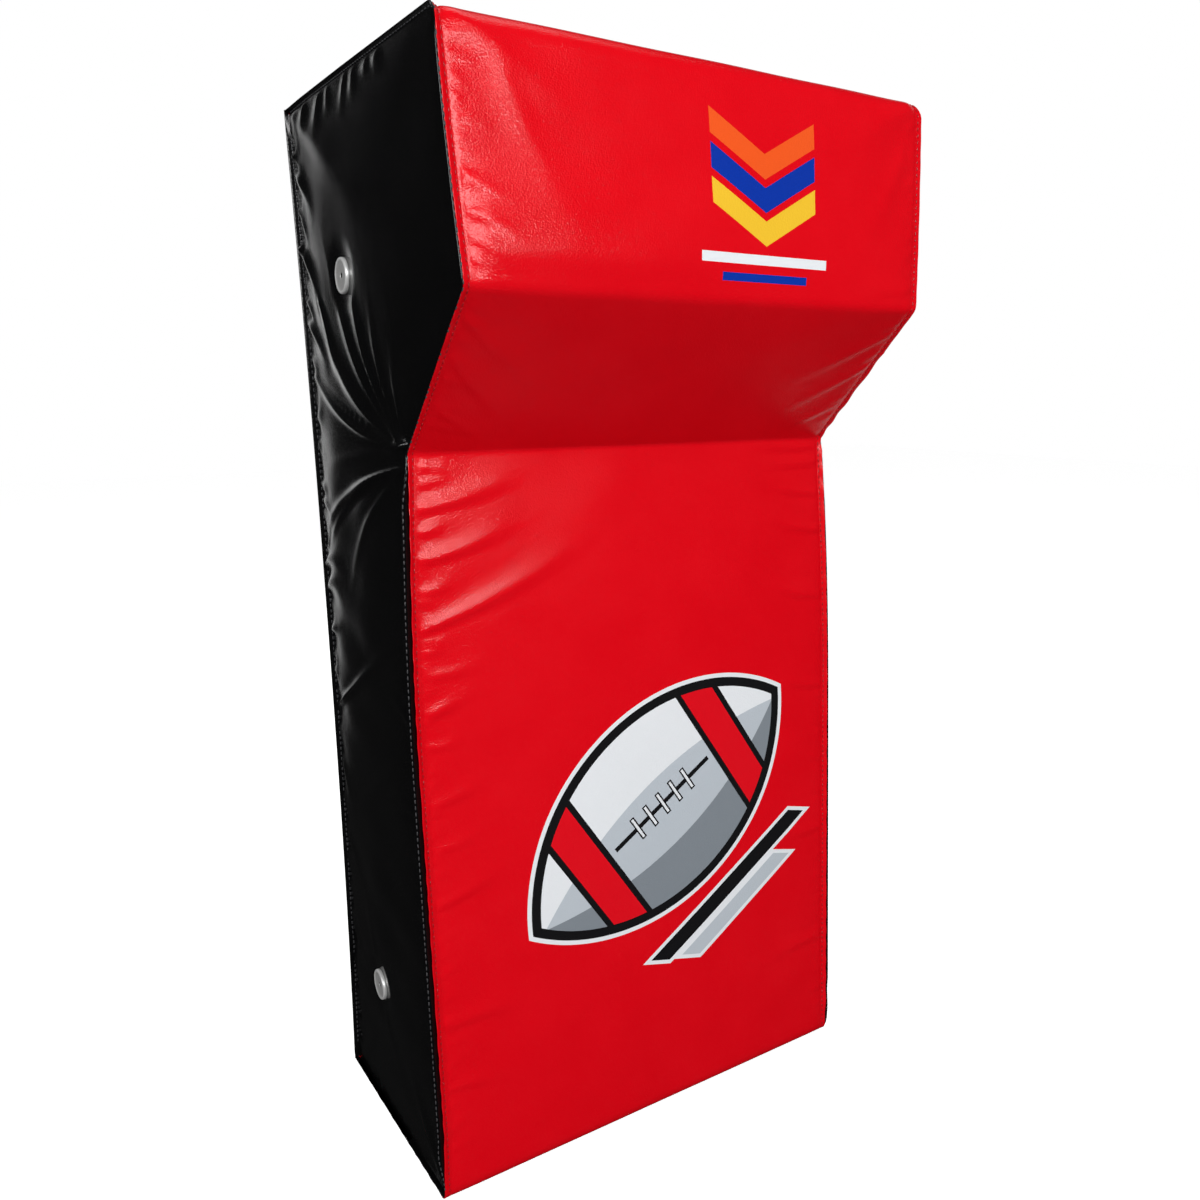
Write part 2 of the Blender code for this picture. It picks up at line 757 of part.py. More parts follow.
def make_pull(collection):
    """The pull: a window round the bridge, a bar under it, and a tab with an eye."""
    hinge = bpy.data.objects.new("zip_pull_hinge", None)
    hinge.matrix_world = Matrix.Translation(pull_axis()) @ FACING_BACK
    collection.objects.link(hinge)
    inner = BRIDGE_WIDTH / 2 + SLIDER_RUNNING_GAP
    outer = inner + PULL_RAIL
    bar = PULL_BAR / 2
    window = BRIDGE_LENGTH / 2 + SLIDER_RUNNING_GAP
    tip = PULL_END_WIDTH / 2
    corners = [
        Vector((bar, outer)),
        Vector((-window - PULL_RAIL, outer)),
        Vector((-PULL_LENGTH, tip)),
        Vector((-PULL_LENGTH, -tip)),
        Vector((-window - PULL_RAIL, -outer)),
        Vector((bar, -outer)),
    ]
    rim = rounded_path(corners, [bar / 2, 0, tip / 2, tip / 2, 0, bar / 2], closed=True)
    hole = [(-bar, inner), (-bar, -inner), (-window, -inner), (-window, inner)]
    middle = -PULL_LENGTH + 2 * PULL_EYE_RADIUS
    eye = []
    for step in range(PULL_EYE_STEPS):
        angle = step * math.tau / PULL_EYE_STEPS
        eye.append((
            middle + PULL_EYE_RADIUS * math.cos(angle),
            PULL_EYE_RADIUS * math.sin(angle),
        ))
    pull = outline_object(
        "zip_pull",
        [rim, hole, eye],
        PULL_THICKNESS,
        collection,
        nickel("pull_nickel"),
        Matrix.Identity(4),
    )
    pull.parent = hinge
    return pull


# Vents

def vent_frame(side, height, inset):
    """The place and direction of a vent on the stuffed side panel."""
    middle = Vector((side * BODY_WIDTH / 2, BACK - inset, height))
    step = VENT_RADIUS
    along = stuffed(middle + Vector((0, step, 0))) - stuffed(middle - Vector((0, step, 0)))
    upward = stuffed(middle + Vector((0, 0, step))) - stuffed(middle - Vector((0, 0, step)))
    outward = (along.cross(upward) * side).normalized()
    upward = (upward - outward * upward.dot(outward)).normalized()
    across = upward.cross(outward)
    turned = Matrix((across, upward, outward)).transposed().to_4x4()
    return Matrix.Translation(stuffed(middle)) @ turned


def turned_object(name, profile, collection, surface, matrix):
    """A closed profile, (radius, height) pairs, turned about its own Z axis."""
    bm = bmesh.new()
    verts = [bm.verts.new((radius, 0, height)) for radius, height in profile]
    for n, vert in enumerate(verts):
        bm.edges.new((vert, verts[(n + 1) % len(verts)]))
    data = bpy.data.meshes.new(name)
    bm.to_mesh(data)
    bm.free()
    made = add_object(name, data, collection, surface, matrix)
    turn = made.modifiers.new("turn", "SCREW")
    turn.axis = "Z"
    turn.steps = VENT_STEPS
    turn.render_steps = VENT_STEPS
    turn.use_merge_vertices = True
    turn.merge_threshold = WELD_DISTANCE
    turn.use_smooth_shade = True
    return made


def washer_top():
    return -COVER_THICKNESS - FIT_GAP


def clinch_top():
    return washer_top() - WASHER_THICKNESS - FIT_GAP


def cap_profile():
    """A dished disc with a rolled rim, on a barrel whose end is clinched inside."""
    face = FIT_GAP + VENT_FACE
    flat = VENT_RADIUS - 2 * VENT_RIM
    return [
        (VENT_BORE_RADIUS, face - VENT_DISH),
        (flat, face),
        (VENT_RADIUS - VENT_RIM, face + VENT_RIM / 2),
        (VENT_RADIUS - VENT_RIM / 4, face),
        (VENT_RADIUS, FIT_GAP + VENT_RIM / 2),
        (VENT_RADIUS - VENT_RIM / 2, FIT_GAP),
        (flat, FIT_GAP),
        (flat - VENT_SHEET, face - VENT_DISH - VENT_SHEET),
        (VENT_BARREL_RADIUS, face - VENT_DISH - VENT_SHEET),
        (VENT_BARREL_RADIUS, clinch_top()),
        (VENT_BARREL_RADIUS + CLINCH_WIDTH, clinch_top()),
        (VENT_BARREL_RADIUS + CLINCH_WIDTH, clinch_top() - CLINCH_THICKNESS),
        (VENT_BORE_RADIUS, clinch_top() - CLINCH_THICKNESS),
    ]


def washer_profile():
    inner = VENT_BARREL_RADIUS + FIT_GAP
    low = washer_top() - WASHER_THICKNESS
    return [
        (inner, washer_top()),
        (WASHER_RADIUS, washer_top()),
        (WASHER_RADIUS, low),
        (inner, low),
    ]


def round_cutter(name, radius, low, high, collection, matrix):
    bm = bmesh.new()
    bmesh.ops.create_cone(
        bm,
        cap_ends=True,
        segments=VENT_STEPS,
        radius1=radius,
        radius2=radius,
        depth=high - low,
        matrix=Matrix.Translation((0, 0, (low + high) / 2)),
    )
    cutter = mesh_object(name, bm, collection, None, matrix)
    hide_as_cutter(cutter)
    return cutter


def make_vents(panels, slab, collection, cutters):
    """Two vents on each side, through holes in the panel and with room in the slab."""
    for side_name, side in (("left", -1), ("right", 1)):
        for level, height, inset in zip(("upper", "lower"), VENT_HEIGHTS, VENT_INSETS):
            at = vent_frame(side, height, inset)
            ending = f"{level}_{side_name}"
            turned_object(
                f"vent_cap_{ending}", cap_profile(), collection, nickel(f"cap_{ending}"), at
            )
            turned_object(
                f"vent_washer_{ending}",
                washer_profile(),
                collection,
                nickel(f"washer_{ending}"),
                at,
            )
            deep = clinch_top() - CLINCH_THICKNESS - VENT_POCKET_MARGIN
            radius = VENT_BARREL_RADIUS + FIT_GAP
            hole = round_cutter(f"hole_{ending}", radius, deep, CUT_OVERRUN, cutters, at)
            combine(panels[side], hole, "DIFFERENCE")
            radius = WASHER_RADIUS + VENT_POCKET_MARGIN
            pocket = round_cutter(f"pocket_{ending}", radius, deep, CUT_OVERRUN, cutters, at)
            combine(slab, pocket, "DIFFERENCE")


# Arm straps

def strap_lift():
    """The height of the webbing's middle over the back panel, where it lies on its patches."""
    return FIT_GAP + PATCH_THICKNESS + FIT_GAP + STRAP_THICKNESS / 2


def strap_path():
    """The webbing's middle line, (across, out from the back) pairs."""
    lift = strap_lift()
    points = [
        (-STRAP_SPAN / 2 - STRAP_END, lift),
        (-STRAP_SPAN / 2, lift),
        (-STRAP_GRIP / 2, STRAP_STANDOFF),
        (STRAP_GRIP / 2, STRAP_STANDOFF),
        (STRAP_SPAN / 2, lift),
        (STRAP_SPAN / 2 + STRAP_END, lift),
    ]
    radii = [
        0,
        STRAP_FOOT_RADIUS,
        STRAP_SHOULDER_RADIUS,
        STRAP_SHOULDER_RADIUS,
        STRAP_FOOT_RADIUS,
        0,
    ]
    return rounded_path([Vector(p) for p in points], radii, steps=5)


def sleeve_length():
    """The straight stretch between the strap's shoulders, less a gap at both ends."""
    rise = STRAP_STANDOFF - strap_lift()
    turn = math.atan2(rise, (STRAP_SPAN - STRAP_GRIP) / 2)
    shoulder = STRAP_SHOULDER_RADIUS * math.tan(turn / 2)
    return STRAP_GRIP - 2 * shoulder - 2 * SLEEVE_END_GAP


def make_strap(name, height, collection):
    """Webbing whose two ends lie flat on the back, with an arch between them."""
    bm = bmesh.new()
    low = height - STRAP_WIDTH / 2
    verts = [bm.verts.new((x, BACK + out, low)) for x, out in strap_path()]
    edges = [bm.edges.new(pair) for pair in zip(verts, verts[1:])]
    swept = bmesh.ops.extrude_edge_only(bm, edges=edges)["geom"]
    moved = [item for item in swept if isinstance(item, bmesh.types.BMVert)]
    bmesh.ops.translate(bm, verts=moved, vec=(0, 0, STRAP_WIDTH))
    obj = mesh_object(name, bm, collection, black_fabric(name + "_webbing"))
    add_thickness(obj, STRAP_THICKNESS)
    smooth(obj)
    return obj


def make_sleeve(name, height, collection):
    """A padded sleeve round the strap's grip, fuller in the middle than at its ends."""
    length = sleeve_length()
    slot_width = STRAP_WIDTH + 2 * FIT_GAP
    slot_thickness = STRAP_THICKNESS + 2 * FIT_GAP
    outer = rounded_rectangle(SLEEVE_THICKNESS, SLEEVE_WIDTH, SLEEVE_CORNER)
    inner = rounded_rectangle(slot_thickness, slot_width, 0)
    turned = Matrix.Rotation(math.radians(90), 4, "Z") @ FACING_BACK
    at = Matrix.Translation((0, BACK + STRAP_STANDOFF, height)) @ turned
    sleeve = to_mesh(outline_object(name, [outer, inner], length, collection, None, at))
    bm = bmesh.new()
    bm.from_mesh(sleeve.data)
    slice_mesh(bm, 2, even_places(-length / 2, length / 2, length / 6))
    for vert in bm.verts:
        if abs(vert.co.x) > slot_thickness or abs(vert.co.y) > slot_width / 2 + FIT_GAP:
            fullness = SLEEVE_CROWN * (2 * vert.co.z / length) ** 2
            flat = Vector((vert.co.x, vert.co.y, 0))
            vert.co -= flat.normalized() * fullness
    bm.to_mesh(sleeve.data)
    bm.free()
    sleeve.data.materials.append(black_vinyl(name + "_vinyl"))
    smooth(sleeve)
    return sleeve


def make_patches(name, height, collection):
    """The patches between the back panel and the strap's two ends."""
    place = STRAP_SPAN / 2 + STRAP_END / 2
    lift = BACK + FIT_GAP + PATCH_THICKNESS / 2
    loop = rounded_rectangle(PATCH_LENGTH, PATCH_WIDTH, PATCH_CORNER)
    for side_name, side in (("left", -1), ("right", 1)):
        at = Matrix.Translation((side * place, lift, height)) @ FACING_BACK
        ending = f"{name}_{side_name}"
        outline_object(
            ending, [loop], PATCH_THICKNESS, collection, black_vinyl(ending + "_vinyl"), at
        )


def make_arm_straps(collection):
    for level, height in zip(("lower", "upper"), STRAP_HEIGHTS):
        make_patches(f"strap_patch_{level}", height, collection)
        make_strap(f"arm_strap_{level}", height, collection)
        make_sleeve(f"strap_sleeve_{level}", height, collection)


def main():
    for obj in list(bpy.data.objects):
        bpy.data.objects.remove(obj, do_unlink=True)
    shield = new_collection("tackle_shield")
    cutters = new_collection("cutters", hidden=True)
    make_arm_sheet(shield)
    slab = make_slab(shield)
    make_head_block(shield)
    make_front_cover(shield)
    panels = {
        -1: make_side_panel("side_panel_left", -1, shield),
        1: make_side_panel("side_panel_right", 1, shield),
    }
    make_back_panel(shield)
    make_zip_tape("zip_tape_upper", 1, shield, cutters)
    make_zip_tape("zip_tape_lower", -1, shield, cutters)
    make_zip_stops(shield)
    make_slider(shield, cutters)
    make_pull(shield)
    make_vents(panels, slab, shield, cutters)
    make_arm_straps(shield)


main()
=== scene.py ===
"""Looks of the tackle shield, built in the order in which the shield is made."""

import math
import random

import bmesh
import bpy
import numpy as np
from mathutils import Matrix, Vector


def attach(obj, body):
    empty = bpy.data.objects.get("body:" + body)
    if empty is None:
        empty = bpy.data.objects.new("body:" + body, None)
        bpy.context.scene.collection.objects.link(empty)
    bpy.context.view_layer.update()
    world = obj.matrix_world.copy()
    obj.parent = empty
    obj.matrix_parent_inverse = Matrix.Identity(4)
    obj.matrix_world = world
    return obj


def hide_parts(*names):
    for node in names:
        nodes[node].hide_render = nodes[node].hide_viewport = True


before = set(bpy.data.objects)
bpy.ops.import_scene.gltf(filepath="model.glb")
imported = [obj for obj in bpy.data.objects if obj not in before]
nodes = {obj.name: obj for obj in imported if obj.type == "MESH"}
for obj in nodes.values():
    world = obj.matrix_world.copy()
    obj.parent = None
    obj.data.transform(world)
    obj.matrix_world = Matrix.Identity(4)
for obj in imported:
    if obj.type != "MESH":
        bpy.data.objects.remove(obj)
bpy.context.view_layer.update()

scene = bpy.context.scene

# Camera
# It stands in front of the shield's left corner and a little above its middle, close to it,
# with a small sideways shift that frames the shield as the photograph does.
camera_data = bpy.data.cameras.new("camera")
camera_data.sensor_fit = "HORIZONTAL"
camera_data.sensor_width = 36
camera_data.lens = 31.915
camera_data.shift_x = -0.0859
camera_data.shift_y = 0.0045
camera_data.clip_start = 0.02
camera = bpy.data.objects.new("camera", camera_data)
camera.location = (-0.4811, -0.8775, 0.6727)
camera.rotation_euler = [math.radians(a) for a in (78.268, 0.045, -35.255)]
scene.collection.objects.link(camera)
scene.camera = camera

# Studio
# White paper below, and a white backdrop behind the shield and to its right. The rest of the
# room is dark, and six soft boxes light the shield from the front, the left, behind and above.
scene.view_settings.view_transform = "Standard"


def add_node(tree, kind, inputs=(), **settings):
    """Adds a shader node, with its settings and the values of its unlinked inputs."""
    node = tree.nodes.new("ShaderNode" + kind)
    for name, value in settings.items():
        setattr(node, name, value)
    for socket, value in dict(inputs).items():
        node.inputs[socket].default_value = value
    return node


def wire(tree, *rows):
    """Links nodes, in rows of (node, its output, node, its input)."""
    for source, output, target, entry in rows:
        tree.links.new(source.outputs[output], target.inputs[entry])


def new_material(name):
    """A material, its node tree and its Principled shader."""
    made = bpy.data.materials.new(name)
    made.use_nodes = True
    return made, made.node_tree, made.node_tree.nodes["Principled BSDF"]


def backdrop_group():
    """How much of the white backdrop lies in a direction from the shield, from 0 to 1."""
    tree = bpy.data.node_groups.new("backdrop", "ShaderNodeTree")
    tree.interface.new_socket("Direction", in_out="INPUT", socket_type="NodeSocketVector")
    tree.interface.new_socket("White", in_out="OUTPUT", socket_type="NodeSocketFloat")
    given = tree.nodes.new("NodeGroupInput")
    out = tree.nodes.new("NodeGroupOutput")
    rightward = add_node(tree, "VectorMath", {1: (0.995, 0.10, 0.0)}, operation="DOT_PRODUCT")
    right_edge = add_node(tree, "MapRange", {"From Min": -0.115, "From Max": 0.10},
                          interpolation_type="SMOOTHSTEP")
    backward = add_node(tree, "SeparateXYZ")
    back_edge = add_node(tree, "MapRange", {"From Min": 0.0, "From Max": 0.35},
                         interpolation_type="SMOOTHSTEP")
    top_edge = add_node(tree, "MapRange",
                        {"From Min": 0.25, "From Max": 0.62, "To Min": 1.0, "To Max": 0.0},
                        interpolation_type="SMOOTHSTEP")
    both = add_node(tree, "Math", operation="MULTIPLY")
    all_three = add_node(tree, "Math", operation="MULTIPLY")
    wire(
        tree, (given, "Direction", rightward, 0), (rightward, "Value", right_edge, "Value"),
        (given, "Direction", backward, 0), (backward, "Y", back_edge, "Value"),
        (right_edge, 0, both, 0), (back_edge, 0, both, 1), (backward, "Z", top_edge, "Value"),
        (both, 0, all_three, 0), (top_edge, 0, all_three, 1), (all_three, 0, out, "White"),
    )
    return tree


backdrop = backdrop_group()


def studio_world():
    world = bpy.data.worlds.new("studio")
    world.use_nodes = True
    tree = world.node_tree
    tree.nodes.clear()
    place = add_node(tree, "TexCoord")
    sheet = add_node(tree, "Group", node_tree=backdrop)
    room = add_node(tree, "Math", {1: 0.010}, operation="MAXIMUM")
    paths = add_node(tree, "LightPath")
    seen = add_node(tree, "Math", operation="MAXIMUM")
    mirrored = add_node(tree, "Mix", {2: 0.34})
    level = add_node(tree, "Mix", {3: 1.0})
    light = add_node(tree, "Background", {"Color": (1, 1, 1, 1)})
    out = add_node(tree, "OutputWorld")
    wire(
        tree, (place, "Generated", sheet, "Direction"), (sheet, "White", room, 0),
        (paths, "Is Camera Ray", seen, 0), (paths, "Is Transmission Ray", seen, 1),
        (paths, "Is Glossy Ray", mirrored, 0), (room, 0, mirrored, 3), (seen, 0, level, 0),
        (mirrored, 0, level, 2), (level, 0, light, "Strength"), (light, 0, out, "Surface"),
    )
    return world


scene.world = studio_world()

floor_mesh = bmesh.new()
bmesh.ops.create_grid(floor_mesh, x_segments=1, y_segments=1, size=8)
floor_data = bpy.data.meshes.new("floor")
floor_mesh.to_mesh(floor_data)
floor_mesh.free()
floor = bpy.data.objects.new("floor", floor_data)
floor.location.z = -0.0005
scene.collection.objects.link(floor)


def paper_material():
    """White paper that keeps the shield's shadow, and lights it less than it shows."""
    made, tree, shader = new_material("paper")
    shader.inputs["Base Color"].default_value = (0.93, 0.93, 0.93, 1)
    shader.inputs["Roughness"].default_value = 0.9
    shader.inputs["Specular IOR Level"].default_value = 0.1
    lift = add_node(tree, "Emission", {"Strength": 0.68})
    lit = add_node(tree, "AddShader")
    bounced = add_node(tree, "BsdfDiffuse", {"Color": (0.26, 0.26, 0.26, 1)})
    place = add_node(tree, "TexCoord")
    around = add_node(tree, "VectorMath", operation="NORMALIZE")
    sheet = add_node(tree, "Group", node_tree=backdrop)
    near = add_node(tree, "Math", {1: 0.85, 2: 0.012}, operation="MULTIPLY_ADD")
    mirror = add_node(tree, "Emission")
    paths = add_node(tree, "LightPath")
    seen = add_node(tree, "MixShader")
    mirrored = add_node(tree, "MixShader")
    wire(
        tree, (shader, 0, lit, 0), (lift, 0, lit, 1), (paths, "Is Camera Ray", seen, 0),
        (bounced, 0, seen, 1), (lit, 0, seen, 2), (place, "Object", around, 0),
        (around, 0, sheet, "Direction"), (sheet, "White", near, 0),
        (near, 0, mirror, "Strength"), (paths, "Is Glossy Ray", mirrored, 0),
        (seen, 0, mirrored, 1), (mirror, 0, mirrored, 2),
        (mirrored, 0, tree.nodes["Material Output"], "Surface"),
    )
    return made


floor_data.materials.append(paper_material())


def soft_box(name, place, target, width, height, watts):
    light = bpy.data.lights.new(name, "AREA")
    light.shape = "RECTANGLE"
    light.size = width
    light.size_y = height
    light.energy = watts
    lamp = bpy.data.objects.new(name, light)
    lamp.location = place
    lamp.rotation_euler = (Vector(target) - Vector(place)).to_track_quat("-Z", "Y").to_euler()
    scene.collection.objects.link(lamp)


soft_box("front_box", (-1.0, -2.4, 1.5), (0, 0, 0.45), 1.3, 0.9, 36)
soft_box("right_box", (0.18, -2.3, 0.98), (0, 0, 0.5), 0.34, 0.34, 10)
soft_box("high_box", (0.24, -2.2, 2.0), (0, 0, 0.6), 0.36, 0.36, 4)
soft_box("left_box", (-2.2, -0.7, 1.2), (0, 0, 0.45), 0.4, 0.9, 12)
soft_box("back_box", (0.85, 2.3, 1.35), (0, 0, 0.5), 1.1, 1.0, 12)
soft_box("top_box", (0.3, 0.1, 2.9), (0, 0, 0.5), 1.2, 1.2, 7)

# Foam core
# Three blocks cut from sheets of foam: a firm grey sheet behind the arm straps, the main slab,
# and the wedge glued to its front. The cover hides them, and their edges are rubbed soft.


def blend(tree, low, high):
    """Goes from one colour to another with the value at input 0."""
    return add_node(tree, "Mix", {6: (*low, 1), 7: (*high, 1)}, data_type="RGBA")


def foam_material(name, pale, dark):
    made, tree, shader = new_material(name)
    shader.inputs["Roughness"].default_value = 0.95
    place = add_node(tree, "TexCoord")
    pores = add_node(tree, "TexVoronoi", {"Scale": 900})
    tint = blend(tree, dark, pale)
    bump = add_node(tree, "Bump", {"Distance": 0.0003})
    wire(
        tree, (place, "Object", pores, "Vector"), (pores, "Distance", tint, 0),
        (tint, 2, shader, "Base Color"), (pores, "Distance", bump, "Height"),
        (bump, 0, shader, "Normal"),
    )
    return made


def finish_piece(name, bm, surfaces, body="shield"):
    """Makes a smooth piece of a bmesh, and lets it ride on its body."""
    data = bpy.data.meshes.new(name)
    bm.to_mesh(data)
    bm.free()
    data.shade_smooth()
    for surface in surfaces:
        data.materials.append(surface)
    piece = bpy.data.objects.new(name, data)
    scene.collection.objects.link(piece)
    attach(piece, body)
    return piece


soft_foam = foam_material("soft_foam", (0.62, 0.62, 0.58), (0.40, 0.40, 0.37))
firm_foam = foam_material("firm_foam", (0.34, 0.35, 0.37), (0.20, 0.21, 0.23))
for node, surface, slot_name in (
    ("core_arm_sheet", firm_foam, "firm_foam"),
    ("core_slab", soft_foam, "core_foam"),
    ("core_head_block", soft_foam, "core_foam"),
):
    block = bmesh.new()
    block.from_mesh(nodes[node].data)
    bmesh.ops.remove_doubles(block, verts=block.verts, dist=1e-5)
    piece = finish_piece(node + "_foam", block, [surface])
    piece.data.set_sharp_from_angle(angle=math.radians(35))
    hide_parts(node)

# Seam outline
# Both sides of the cover are sewn along one outline round the foam: over the top, down the
# leaning head, back under the wedge to the fold, down the lower face, and along the base.
HEIGHT = 0.900
HALF_WIDTH = 0.2075
BACK = 0.121
HEAD_TOP = Vector((-0.2110, HEIGHT))
HEAD_EDGE = Vector((-0.2215, 0.734))
FOLD = Vector((-0.1040, 0.623))
BASE_FRONT = Vector((-0.1210, 0.0))
OUTLINE_RADII = [0.015, 0.007, 0.004, 0.009]
NOTCH_REACH = 0.250
NOTCH_WAIST = 0.009
BACK_WAIST = 0.005


def rounded_run(corners, radii, step):
    """Evenly spaced points along a bent line whose corners are rounded, with their distances."""
    points = [corners[0]]
    for before, corner, after, radius in zip(corners, corners[1:], corners[2:], radii):
        into = (corner - before).normalized()
        out = (after - corner).normalized()
        reach = radius * math.tan(abs(into.angle_signed(out)) / 2)
        start, end = corner - into * reach, corner + out * reach
        for n in range(13):
            t = n / 12
            points.append(start * (1 - t) ** 2 + corner * 2 * t * (1 - t) + end * t * t)
    points.append(corners[-1])
    places = np.array([tuple(p) for p in points])
    along = np.concatenate([[0], np.cumsum(np.linalg.norm(np.diff(places, axis=0), axis=1))])
    even = np.linspace(0, along[-1], int(along[-1] / step) + 1)
    run = np.stack([np.interp(even, along, places[:, 0]), np.interp(even, along, places[:, 1])], axis=1)
    return run, even


def run_normals(run):
    """Square to a run, pointing away from the foam, and turning softly at the corners."""
    ahead = np.gradient(run, axis=0)
    ahead /= np.linalg.norm(ahead, axis=1)[:, None]
    return np.stack([ahead[:, 1], -ahead[:, 0]], axis=1)


seam_corners = [Vector((BACK, HEIGHT)), HEAD_TOP, HEAD_EDGE, FOLD, BASE_FRONT, Vector((BACK, 0))]
seam_run = rounded_run(seam_corners, OUTLINE_RADII, 0.001)[0]
seam_normals = run_normals(seam_run)


def front_depth(height):
    """Where the cover's front stands at each height, before it bulges."""
    heights = [0, FOLD.y, HEAD_EDGE.y, HEIGHT]
    depths = [BASE_FRONT.x, FOLD.x, HEAD_EDGE.x, HEAD_TOP.x]
    return np.interp(height, heights, depths)


def hump(share):
    """One along most of a span, and nothing at its ends."""
    return np.where((share > 0) & (share < 1), 1 - np.abs(2 * np.clip(share, 0, 1) - 1) ** 2.4, 0)


def depth_share(depth, height):
    front = front_depth(height)
    return np.clip((depth - front) / (BACK - front), 0, 1)


def seam_half_width(depth, height):
    """Half the width between the two side seams: the stitching draws them in at the notch."""
    share = depth_share(depth, height)
    above = np.maximum(0, height - HEAD_EDGE.y)
    below = np.maximum(0, FOLD.y - height)
    fade = np.maximum(0, 1 - (above + below) / NOTCH_REACH)
    drawn_in = NOTCH_WAIST * fade**2 * (1 - share) ** 2
    return HALF_WIDTH - drawn_in - BACK_WAIST * share**2 * hump(height / HEIGHT)


# Seam lip
# The edges of two panels are laid face to the foam and sewn through, so that both stand up
# together as a narrow double lip. Its lean changes as it goes round the shield.
LIP = 0.0054
SHEET = 0.0008
SEAM_DIP = 0.0014
ZIP_HEIGHT = 0.110


def smooth_step(low, high, value):
    t = np.clip((value - low) / (high - low), 0, 1)
    return t * t * (3 - 2 * t)


def ahead_of_back(depth):
    """One ahead of the back corner, fading to nothing just before the back seam."""
    return smooth_step(BACK - 0.010, BACK - 0.06, depth)


def lip_lean(depth, height):
    """How far a seam's lip stands up from the side towards the strip, as an angle."""
    front = ahead_of_back(depth)
    heights = [0.0, 0.015, 0.06, 0.56, 0.61, 0.63, 0.71, 0.745, 0.86, 0.893, 0.9]
    leans = [0.0, 12, 42, 42, 30, 16, 14, 26, 30, 36, 60]
    lean = np.interp(height, heights, leans)
    # flat beside the zip's ends, so that the pull has room over the back seam
    off_zip = smooth_step(0.016, 0.045, np.abs(height - ZIP_HEIGHT))
    return np.radians(lean * front + 30 * (1 - front) * smooth_step(0.0, 0.02, height) * off_zip)


def black_reach(side, depth, height):
    """How far the black half of the lip reaches, in widths of the red half: further down the front."""
    front = ahead_of_back(depth)
    heights = [0.0, 0.012, 0.04, 0.585, 0.625, 0.70, 0.74, 0.88, 0.9]
    reach = [1.0, 1.15, 1.80, 1.75, 1.12, 1.05, 1.15, 1.15, 0.75]
    if side > 0:
        heights = [0.0, 0.012, 0.04, 0.30, 0.585, 0.625, 0.70, 0.87, 0.90]
        reach = [1.10, 1.45, 1.60, 1.45, 1.25, 0.95, 0.70, 0.55, 0.30]
    return 1 + (np.interp(height, heights, reach) - 1) * front


def seam_frame(side, depth, height, normal, black=False):
    """The foot of the lip at a place on the outline, the way that it points, and square to it."""
    lean = float(lip_lean(depth, height))
    if side > 0:
        # the head's right lip lies nearly along its face
        lean *= 1 - 0.8 * float(smooth_step(0.60, 0.64, height) * ahead_of_back(depth))
    if black and depth < BACK - 0.06:
        below_fold = smooth_step(0.02, 0.05, height) * smooth_step(0.62, 0.58, height)
        lean -= math.radians(27) * float(below_fold)
    if height < 0.002:
        lean = 0.0
    flat = Vector((0, normal[0], normal[1]))
    if flat.z < 0 and height < 0.004:
        flat.z = 0.0
        flat.y = flat.y if abs(flat.y) > 1e-6 else 0.0
    lateral = Vector((side, 0, 0))
    points = (lateral * math.cos(lean) + flat * math.sin(lean)).normalized()
    square = (flat * math.cos(lean) - lateral * math.sin(lean))
    if square.length > 0:
        square.normalize()
    width = float(seam_half_width(depth, height))
    foot = Vector((side * width, depth, height)) - (lateral + flat) * SEAM_DIP * 0.7
    return foot, points, square


# Vinyl
# The cover is cut from plasticised vinyl on a knitted backing, embossed with a fine leather
# grain. The red sheet has a soft shine, and the black one is nearly patent.


def vinyl_grain_group():
    """The grain's height, a slow mottling and fine scuffs, from places on the object."""
    tree = bpy.data.node_groups.new("vinyl_grain", "ShaderNodeTree")
    tree.interface.new_socket("Cell", in_out="INPUT", socket_type="NodeSocketFloat").default_value = 780.0
    for name in ("Height", "Mottle", "Scuff"):
        tree.interface.new_socket(name, in_out="OUTPUT", socket_type="NodeSocketFloat")
    given = tree.nodes.new("NodeGroupInput")
    out = tree.nodes.new("NodeGroupOutput")
    place = add_node(tree, "TexCoord")
    warp = add_node(tree, "TexNoise", {"Scale": 300, "Detail": 2})
    bend = add_node(tree, "VectorMath", {1: (0.0018, 0.0018, 0.0018)}, operation="MULTIPLY_ADD")
    cells = add_node(tree, "TexVoronoi", {"Smoothness": 0.35}, feature="SMOOTH_F1")
    fine = add_node(tree, "TexNoise", {"Scale": 2400, "Detail": 2})
    total = add_node(tree, "Math", {1: 0.3}, operation="MULTIPLY_ADD")
    slow = add_node(tree, "TexNoise", {"Scale": 22, "Detail": 5})
    scuff = add_node(tree, "TexNoise", {"Scale": 150, "Detail": 6, "Roughness": 0.7})
    wire(
        tree, (place, "Object", warp, "Vector"), (warp, "Color", bend, 0),
        (place, "Object", bend, 2), (bend, 0, cells, "Vector"), (given, "Cell", cells, "Scale"),
        (place, "Object", fine, "Vector"), (place, "Object", slow, "Vector"),
        (place, "Object", scuff, "Vector"), (fine, 0, total, 0), (cells, "Distance", total, 2),
        (total, 0, out, "Height"), (slow, 0, out, "Mottle"), (scuff, 0, out, "Scuff"),
    )
    return tree


vinyl_grain = vinyl_grain_group()


